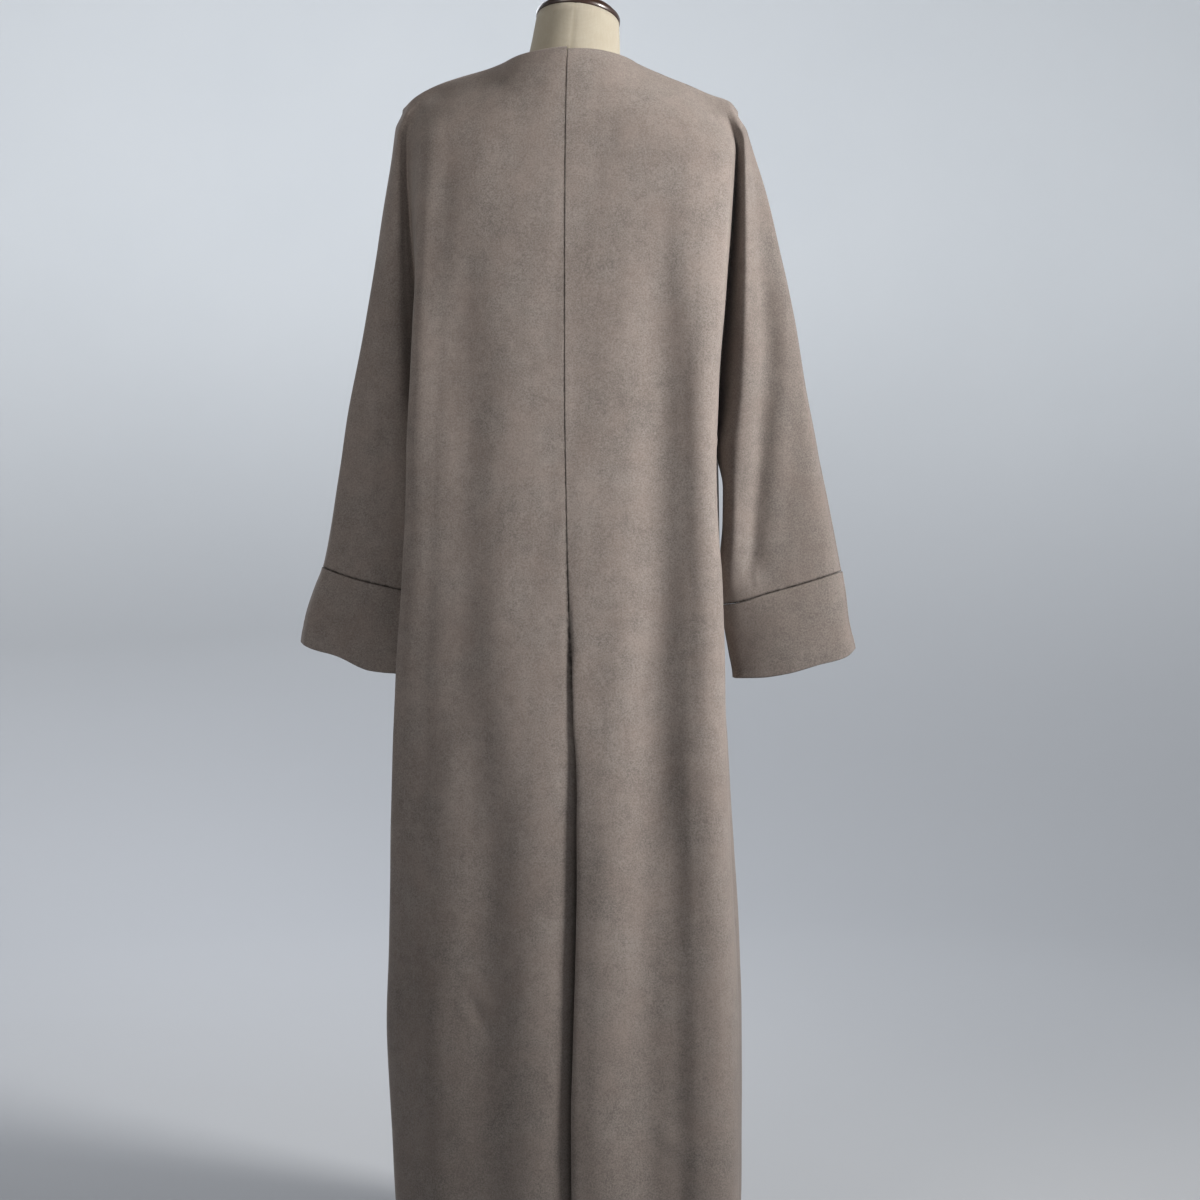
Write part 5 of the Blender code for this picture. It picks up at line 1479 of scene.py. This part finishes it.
@dataclass(frozen=True)
class LacqueredWood:
    """Turned beech stained dark brown under a semi-gloss lacquer, its grain just showing."""

    name: str
    shade: str = "#3A2318"
    dark: str = "#1E130D"
    grains: tuple[float, float, float] = (30.0, 220.0, 220.0)   # how many a metre each way
    grain_detail: tuple[float, float] = (4.0, 0.6)
    grain_range: tuple[float, float] = (-0.3, 1.3)
    roughness: tuple[float, float] = (0.30, 0.42)
    coat: float = 0.4
    coat_roughness: float = 0.2
    bump_strength: float = 0.12
    bump_height: float = 0.1 * MM

    def material(self) -> bpy.types.Material:
        """The finish as a material on Object coordinates.

        Returns:
            The material.
        """
        material, tree, shader = fresh_material(self.name, self.shade)
        place = add_node(tree, "TexCoord", output="Object")
        grain = add_node(tree, "TexNoise", {
            "Vector": add_node(tree, "Mapping", {"Vector": place, "Scale": self.grains}),
            "Scale": 1.0, "Detail": self.grain_detail[0], "Roughness": self.grain_detail[1]})
        share = add_node(tree, "MapRange", {0: grain, 3: self.grain_range[0], 4: self.grain_range[1]})
        plug(tree, shader, {
            "Base Color": add_node(tree, "Mix", {0: share, 6: linear(self.dark), 7: linear(self.shade)}, 2,
                                   data_type="RGBA"),
            "Roughness": add_node(tree, "MapRange", {0: grain, 3: self.roughness[0], 4: self.roughness[1]}),
            "Coat Weight": self.coat,
            "Coat Roughness": self.coat_roughness,
            "Normal": add_node(tree, "Bump", {
                "Strength": self.bump_strength, "Distance": self.bump_height, "Height": grain})})
        return material


@dataclass(frozen=True)
class CoatedSteel:
    """Steel under a satin dark grey powder coat, with its fine orange-peel skin."""

    name: str
    shade: str = "#4B4B4E"
    worn: str = "#5C5C60"
    peel: float = 2.5 * MM
    scuff: float = 28.0 * MM
    peel_detail: float = 2.0
    scuff_detail: tuple[float, float] = (5.0, 0.65)
    scuff_range: tuple[float, float] = (-0.4, 1.2)
    roughness: tuple[float, float] = (0.38, 0.55)
    bump_strength: float = 0.18
    bump_height: float = 0.15 * MM

    def material(self) -> bpy.types.Material:
        """The finish as a material on Object coordinates.

        Returns:
            The material.
        """
        material, tree, shader = fresh_material(self.name, self.shade)
        place = add_node(tree, "TexCoord", output="Object")
        peel = add_node(tree, "TexNoise", {
            "Vector": place, "Scale": 1.0 / self.peel, "Detail": self.peel_detail})
        scuff = add_node(tree, "TexNoise", {
            "Vector": place, "Scale": 1.0 / self.scuff, "Detail": self.scuff_detail[0],
            "Roughness": self.scuff_detail[1]})
        share = add_node(tree, "MapRange", {0: scuff, 3: self.scuff_range[0], 4: self.scuff_range[1]})
        plug(tree, shader, {
            "Base Color": add_node(tree, "Mix", {0: share, 6: linear(self.shade), 7: linear(self.worn)}, 2,
                                   data_type="RGBA"),
            "Roughness": add_node(tree, "MapRange", {0: scuff, 3: self.roughness[0], 4: self.roughness[1]}),
            "Normal": add_node(tree, "Bump", {
                "Strength": self.bump_strength, "Distance": self.bump_height, "Height": peel})})
        return material


@dataclass(frozen=True)
class WallPaint:
    """Matt emulsion on plaster, a very pale cool grey, rolled on with a faint stipple.

    It carries painted shade, darker towards the bottom: a darker grey on the floor fades out up the cove into
    the wall's own grey.
    """

    name: str
    shade: str = "#E4E8EB"
    cloudy: str = "#DDE2E6"
    # painted shade: the darker grey low down
    floor: str = "#A9ACB0"
    shade_full_below: float = 0.15
    shade_gone_above: float = 2.4
    clouds: float = 1.6            # how many a metre
    stipples: float = 140.0
    cloud_detail: float = 4.0
    stipple_detail: float = 2.0
    roughness: float = 0.95
    gloss: float = 0.2
    bump_strength: float = 0.1
    bump_height: float = 0.6 * MM

    def material(self) -> bpy.types.Material:
        """The finish as a material on Object coordinates.

        Returns:
            The material.
        """
        material, tree, shader = fresh_material(self.name, self.shade)
        place = add_node(tree, "TexCoord", output="Object")
        cloud = add_node(tree, "TexNoise", {
            "Vector": place, "Scale": self.clouds, "Detail": self.cloud_detail})
        paint = add_node(tree, "Mix", {0: cloud, 6: linear(self.shade), 7: linear(self.cloudy)}, 2,
                         data_type="RGBA")
        height = add_node(tree, "SeparateXYZ", {0: place}, "Z")
        # painted shade, fading out upward
        unshaded_share = add_node(tree, "MapRange", {0: height, 1: self.shade_full_below, 2: self.shade_gone_above},
                              interpolation_type="SMOOTHSTEP")
        stipple = add_node(tree, "TexNoise", {
            "Vector": place, "Scale": self.stipples, "Detail": self.stipple_detail})
        plug(tree, shader, {
            "Base Color": add_node(tree, "Mix", {0: unshaded_share, 6: linear(self.floor), 7: paint}, 2,
                                   data_type="RGBA"),
            "Roughness": self.roughness,
            "Specular IOR Level": self.gloss,
            "Normal": add_node(tree, "Bump", {
                "Strength": self.bump_strength, "Distance": self.bump_height, "Height": stipple})})
        return material


# ---- the cloak -------------------------------------------------------------------------
@dataclass
class Cloak:
    """The abaya: four panels and two cuffs, each on its own solid's form.

    Attributes:
        panel_flat: Width and length of the cloth each panel is cut from; not used.
        cuff_flat: Width and height of a finished cuff laid flat; not used.
        rests_on: The piece that the panels hang from; not used.
        finish: The name of the one suede that every piece is cut from.
    """

    panel_flat: tuple[float, float] = (0.82, 1.50)
    cuff_flat: tuple[float, float] = (0.38, 0.105)
    rests_on: str = "form_torso"
    finish: str = "brushed_taupe_faux_suede"

    def build(self) -> None:
        """Builds and dresses every piece."""
        for face in Face:
            for side in Side:
                self.panel(face, side)
        for side in Side:
            self.cuff(side)

    def panel(self, face: Face, side: Side) -> None:
        """One panel, cut in one with its half of the sleeve.

        Args:
            face: Back or front.
            side: The wearer's side.
        """
        coarseness = 1.0 if face is Face.BACK else FRONT_COARSENESS
        node = f"{face.value}_{side.value}"
        sheet = PanelSheet(PanelForm(face, side), coarseness).build()
        piece = shell_object(f"cloak_{node}", sheet, CLOTH_WALL, True)
        self.dress(piece, node)
        LOG.info("%s: cloth area %.3f m2", piece.name, half_area(piece))

    def cuff(self, side: Side) -> None:
        """One cuff, cloth turned double and sewn to the sleeve's end.

        Args:
            side: The wearer's side.
        """
        node = f"cuff_{side.value}"
        piece = shell_object(f"cloak_{node}", cuff_sheet(side), CUFF_WALL, False)
        self.dress(piece, node)
        LOG.info("%s: cloth area %.3f m2", piece.name, half_area(piece))

    def dress(self, piece: bpy.types.Object, node: str) -> None:
        """Gives a piece its finish, hangs it from the root and hides the solid that it stands for.

        Args:
            piece: The piece.
            node: The solid that it stands for.
        """
        piece.data.materials.append(self.suede())
        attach(piece, "root")
        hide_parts(node)

    def suede(self) -> bpy.types.Material:
        """The one suede that every piece is cut from."""
        return bpy.data.materials.get(self.finish) or FauxSuede(self.finish).material()


def half_area(piece: bpy.types.Object) -> float:
    """Half of a shell's surface, which is the cloth in it."""
    return sum(polygon.area for polygon in piece.data.polygons) / 2


# ---- the dress form --------------------------------------------------------------------
@dataclass
class DressForm:
    """The limbless form: a linen torso with its neck, a wooden cap, a pole and a round base."""

    torso_rings: Table = TORSO_RINGS
    around: int = 128
    ring_step: float = 0.008
    seam_groove: float = 0.5 * MM
    seam_half_width: float = 1.6 * MM
    underside_rounding: float = 0.012

    def build(self) -> None:
        """Builds and dresses every piece of the form and its stand."""
        self.finish(self.torso(), "form_body", "linen", PlainLinen("plain_woven_linen").material())
        self.finish(self.cap(), "neck_cap", "cap", LacqueredWood("lacquered_beech").material())
        coat = CoatedSteel("powder_coated_steel").material()
        self.finish(self.pole(), "stand_pole", "stand", coat)
        self.finish(self.base(), "stand_base", "stand", coat)

    def finish(self, piece: bpy.types.Object, node: str, slot: str, material: bpy.types.Material) -> None:
        """Gives a piece its finish, hangs it from the root and hides the solid that it stands for.

        Args:
            piece: The piece.
            node: The solid that it stands for.
            slot: The solid's material slot; not used.
            material: The finish.
        """
        piece.data.materials.append(material)
        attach(piece, "root")
        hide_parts(node)
        LOG.info("%s: %d faces", piece.name, len(piece.data.polygons))

    def lean(self, height: float) -> tuple[float, float]:
        """Shift of the leaning neck's middle at a height."""
        above = max(height - NECK_LEAN_START, 0.0)
        return -above * math.tan(NECK_LEAN_RIGHT), -above * math.tan(NECK_LEAN_FORWARD)

    def neck_axes(self) -> tuple[Vector, Vector, Vector, Vector]:
        """Where the neck's tilted top is.


        Returns:
            The top's middle, its axis and the two directions square to it.
        """
        shift_x, shift_y = self.lean(NECK_TOP_HEIGHT)
        axis = Vector((-math.tan(NECK_LEAN_RIGHT), -math.tan(NECK_LEAN_FORWARD), 1.0)).normalized()
        across = Vector((0.0, 1.0, 0.0)).cross(axis).normalized()
        return Vector((shift_x, shift_y, NECK_TOP_HEIGHT)), axis, across, axis.cross(across)

    def torso(self) -> bpy.types.Object:
        """The torso and neck: rings at close heights, bridged, with a rounded underside.


        Returns:
            The torso.
        """
        low, high = self.torso_rings[0][0], self.torso_rings[-1][0]
        heights = np.linspace(low, high, round((high - low) / self.ring_step))
        half_width = eased(self.torso_rings, heights, 1)
        back = eased(self.torso_rings, heights, 2)
        front = eased(self.torso_rings, heights, 3)
        mesh = bmesh.new()
        wrap = mesh.loops.layers.uv.new("wrap")
        seam = mesh.verts.layers.float.new("seam")
        rings = []
        for height, width, back_y, front_y in zip(heights, half_width, back, front):
            shift = self.lean(height)
            rounding = self.rounded_under(height - low)
            ring = []
            for i in range(self.around):
                turn = 2 * math.pi * i / self.around
                depth = back_y if math.sin(turn) > 0 else -front_y
                radial = Vector((width * math.cos(turn), depth * math.sin(turn), 0.0))
                groove = self.groove(turn, radial.length)
                radial *= rounding * (1.0 - groove * self.seam_groove / radial.length)
                vertex = mesh.verts.new((radial.x + shift[0], radial.y + shift[1], height))
                vertex[seam] = groove
                ring.append(vertex)
            rings.append(ring)
        middle, _, across, along = self.neck_axes()
        top = []
        for i in range(self.around):
            turn = 2 * math.pi * i / self.around
            groove = self.groove(turn, NECK_TOP_RADIUS)
            radius = NECK_TOP_RADIUS - groove * self.seam_groove
            outward = across * radius * math.cos(turn) + along * radius * math.sin(turn)
            vertex = mesh.verts.new(middle + outward)
            vertex[seam] = groove
            top.append(vertex)
        rings.extend(self.between(mesh, seam, rings[-1], top))
        rings.append(top)
        for lower, upper in zip(rings, rings[1:]):
            for i in range(self.around):
                j = (i + 1) % self.around
                face = mesh.faces.new((lower[i], lower[j], upper[j], upper[i]))
                for loop, turn in zip(face.loops, (i, i + 1, i + 1, i)):
                    loop[wrap].uv = (turn / self.around * WRAP_GIRTH, loop.vert.co.z)
        mesh.faces.new(list(reversed(rings[0])))
        mesh.faces.new(rings[-1])
        return mesh_object("form_torso", mesh, True)

    def between(self, mesh: bmesh.types.BMesh, seam: bmesh.types.BMLayerItem, lower: list,
                upper: list) -> list:
        """Two rings between the last level ring and the tilted neck top.

        Args:
            mesh: The torso's mesh.
            seam: Its layer of seam depths.
            lower: The last level ring.
            upper: The neck top's ring.

        Returns:
            The new rings, upward.
        """
        rings = []
        for share in NECK_RING_SHARES:
            ring = []
            for a, b in zip(lower, upper):
                vertex = mesh.verts.new(a.co.lerp(b.co, share))
                vertex[seam] = b[seam]
                ring.append(vertex)
            rings.append(ring)
        return rings

    def groove(self, turn: float, radius: float) -> float:
        """How deep in a seam's groove a direction lies: centre back and front, and sides.

        Args:
            turn: The direction's angle.
            radius: The girth's radius there.

        Returns:
            The depth, from 0 to 1.
        """
        best = 0.0
        for seam_turn in FORM_SEAMS:
            away = abs((turn - seam_turn + math.pi) % (2 * math.pi) - math.pi) * radius
            best = max(best, math.exp(-(away / self.seam_half_width) ** 2))
        return best

    def rounded_under(self, above: float) -> float:
        """Share of the girth left near the underside, which is rolled under."""
        share = min(above / self.underside_rounding, 1.0)
        return 1.0 - UNDERSIDE_ROLL * (1.0 - math.sqrt(1.0 - (1.0 - share) ** 2))

    def cap(self) -> bpy.types.Object:
        """The low domed cap, turned round the leaning neck's axis.


        Returns:
            The cap.
        """
        middle, axis, across, along = self.neck_axes()
        dome = CAP_RADIUS - CAP_ROUNDING
        band_top = PART_GAP + CAP_BAND
        profile = [(CAP_RADIUS - CAP_EDGE, PART_GAP), (CAP_RADIUS, PART_GAP + CAP_EDGE)]
        profile += [(CAP_RADIUS - CAP_ROUNDING * inward, band_top - CAP_ROUNDING * down)
                    for inward, down in CAP_CORNER]
        for i in range(CAP_DOME_STEPS + 1):
            share = QUARTER_TURN * i / CAP_DOME_STEPS
            profile.append((dome * math.cos(share), band_top + CAP_DOME * math.sin(share)))
        mesh = bmesh.new()
        line = [mesh.verts.new((0.0, 0.0, PART_GAP))]
        line += [mesh.verts.new((max(radius, 0.0), 0.0, height)) for radius, height in profile]
        spin_profile(mesh, line, self.around)
        turn_to = np.array([[*across, 0], [*along, 0], [*axis, 0], [0, 0, 0, 1]]).T
        turn_to[:3, 3] = middle
        for vertex in mesh.verts:
            place = turn_to @ np.array([*vertex.co, 1.0])
            vertex.co = place[:3]
        return mesh_object("form_cap", mesh, True)

    def pole(self) -> bpy.types.Object:
        """The pole with a collar at each end.


        Returns:
            The pole.
        """
        profile = []
        for low, ends in ((BASE_HEIGHT + PART_GAP, (0.0, POLE_RADIUS)),
                          (self.torso_rings[0][0] - PART_GAP - POLE_COLLAR_HEIGHT, (POLE_RADIUS, 0.0))):
            high = low + POLE_COLLAR_HEIGHT
            edge_radius = POLE_COLLAR_RADIUS - POLE_EDGE
            profile += [(ends[0], low), (edge_radius, low), (POLE_COLLAR_RADIUS, low + POLE_EDGE),
                        (POLE_COLLAR_RADIUS, high - POLE_EDGE), (edge_radius, high), (ends[1], high)]
        mesh = bmesh.new()
        spin_profile(mesh, [mesh.verts.new((radius, 0.0, height)) for radius, height in profile], POLE_SIDES)
        return mesh_object("form_pole", mesh, False)

    def base(self) -> bpy.types.Object:
        """The round steel base, flat below, with a rounded upper edge.


        Returns:
            The base.
        """
        profile = [(0.0, 0.0), (BASE_RADIUS - BASE_LOWER_EDGE, 0.0), (BASE_RADIUS, BASE_LOWER_EDGE)]
        for i in range(BASE_EDGE_STEPS + 1):
            share = QUARTER_TURN * i / BASE_EDGE_STEPS
            profile.append((BASE_RADIUS - BASE_EDGE + BASE_EDGE * math.cos(share),
                            BASE_HEIGHT - BASE_EDGE + BASE_EDGE * math.sin(share)))
        profile.append((0.0, BASE_HEIGHT))
        mesh = bmesh.new()
        spin_profile(mesh, [mesh.verts.new((radius, 0.0, height)) for radius, height in profile], BASE_SIDES)
        return mesh_object("form_base", mesh, False)


def spin_profile(mesh: bmesh.types.BMesh, line: list[bmesh.types.BMVert], steps: int) -> None:
    """Spins a line of points once round the upright axis and closes its poles.

    Args:
        mesh: The mesh that the line is in.
        line: The line's points, in order.
        steps: How many sides the turned shape gets.
    """
    edges = [mesh.edges.new(pair) for pair in zip(line, line[1:])]
    bmesh.ops.spin(mesh, geom=line + edges, axis=(0, 0, 1), cent=(0, 0, 0), steps=steps,
                   angle=2 * math.pi, use_merge=True)
    bmesh.ops.remove_doubles(mesh, verts=mesh.verts, dist=SAME_POINT)


def mesh_object(name: str, mesh: bmesh.types.BMesh, smooth: bool) -> bpy.types.Object:
    """A finished bmesh as an object at the origin, its faces pointing outward.

    Args:
        name: The piece's name.
        mesh: The mesh, which is freed.
        smooth: Whether all of it is shaded smooth; otherwise only its shallow edges are.

    Returns:
        The new object, linked to the scene.
    """
    bmesh.ops.recalc_face_normals(mesh, faces=mesh.faces)
    data = bpy.data.meshes.new(name)
    mesh.to_mesh(data)
    mesh.free()
    data.shade_smooth()
    if not smooth:
        data.set_sharp_from_angle(angle=SMOOTH_ANGLE)
    piece = bpy.data.objects.new(name, data)
    bpy.context.scene.collection.objects.link(piece)
    return piece


# ---- studio ----------------------------------------------------------------------------
@dataclass
class Studio:
    """A pale round studio, its soft lights and the camera."""

    radius: float = 5.2
    wall_height: float = 5.5
    cove: float = 2.6
    cove_steps: int = 12
    room_sides: int = 96
    camera_place: tuple[float, float, float] = (-0.1543, 2.2951, 0.84)
    camera_aim: tuple[float, float, float] = (-0.0340, -0.0018, 0.84)
    lens: float = 55.2
    sensor: float = 36.0
    far_end: float = 50.0
    world_strength: float = 0.07

    def build(self) -> None:
        """Builds the room, the lights and the camera."""
        self.room()
        self.area("key_light", (-2.8, 1.15, 2.2), (0.0, 0.0, 1.0), 0.8, 96.0, "#FFFCF8")
        self.area("grid_light", (-2.8, 1.25, 2.0), (0.0, 0.0, 1.1), 0.6, 11.0, "#FFFCF8", 56.0)
        self.area("top_light", (1.1, 1.7, 2.2), (0.1, 0.0, 1.2), 0.9, 15.0, "#FFF6EC")
        self.area("front_light", (1.6, -3.0, 2.6), (0.0, 0.0, 0.9), 2.0, 40.0, "#F6F8FF")
        self.area("wall_light", (0.6, -1.4, 3.4), (0.3, -5.2, 1.0), 2.8, 90.0, "#F8FAFF")
        self.sky()
        self.camera()

    def room(self) -> None:
        """A floor disc that turns up through a cove into a round wall, open above."""
        profile = [(0.0, 0.0), (self.radius - self.cove, 0.0)]
        for i in range(1, self.cove_steps + 1):
            share = QUARTER_TURN * i / self.cove_steps
            profile.append((self.radius - self.cove + self.cove * math.sin(share),
                            self.cove - self.cove * math.cos(share)))
        profile.append((self.radius, self.wall_height))
        mesh = bmesh.new()
        line = [mesh.verts.new((radius, 0.0, height)) for radius, height in profile]
        spin_profile(mesh, line, self.room_sides)
        room = mesh_object("studio_room", mesh, True)
        for polygon in room.data.polygons:
            polygon.flip()
        room.data.materials.append(WallPaint("pale_wall_paint").material())

    def area(self, name: str, place: Sequence[float], aim: Sequence[float], size: float, power: float,
             code: str, spread: float = 180.0) -> None:
        """A square soft light.

        Args:
            name: The light's name.
            place: Where it stands.
            aim: The point it faces.
            size: Its side.
            power: Its power in watts.
            code: Its colour.
            spread: The angle it is narrowed to by a grid, in degrees.
        """
        data = bpy.data.lights.new(name, "AREA")
        data.size = size
        data.spread = math.radians(spread)
        data.energy = power
        data.color = linear(code)[:3]
        light = bpy.data.objects.new(name, data)
        light.visible_camera = False
        light.location = place
        light.rotation_euler = (Vector(aim) - Vector(place)).to_track_quat("-Z", "Y").to_euler()
        bpy.context.scene.collection.objects.link(light)

    def sky(self) -> None:
        """Even soft light from all round."""
        world = bpy.data.worlds.new("soft_sky")
        world.use_nodes = True
        shade = world.node_tree.nodes["Background"]
        shade.inputs["Color"].default_value = linear("#FAF7F0")
        shade.inputs["Strength"].default_value = self.world_strength
        bpy.context.scene.world = world

    def camera(self) -> None:
        """The camera, level behind the cloak."""
        data = bpy.data.cameras.new("camera")
        data.lens = self.lens
        data.sensor_width = self.sensor
        data.clip_end = self.far_end
        camera = bpy.data.objects.new("camera", data)
        camera.location = self.camera_place
        way = Vector(self.camera_aim) - Vector(self.camera_place)
        camera.rotation_euler = way.to_track_quat("-Z", "Y").to_euler()
        bpy.context.scene.collection.objects.link(camera)
        bpy.context.scene.camera = camera
        bpy.context.scene.view_settings.view_transform = "Standard"


def main() -> None:
    """Builds the form, the cloak and the studio in order."""
    logging.basicConfig(level=logging.INFO, format="%(name)s %(message)s")
    Studio().build()
    DressForm().build()
    Cloak().build()


if __name__ == "__main__":
    main()
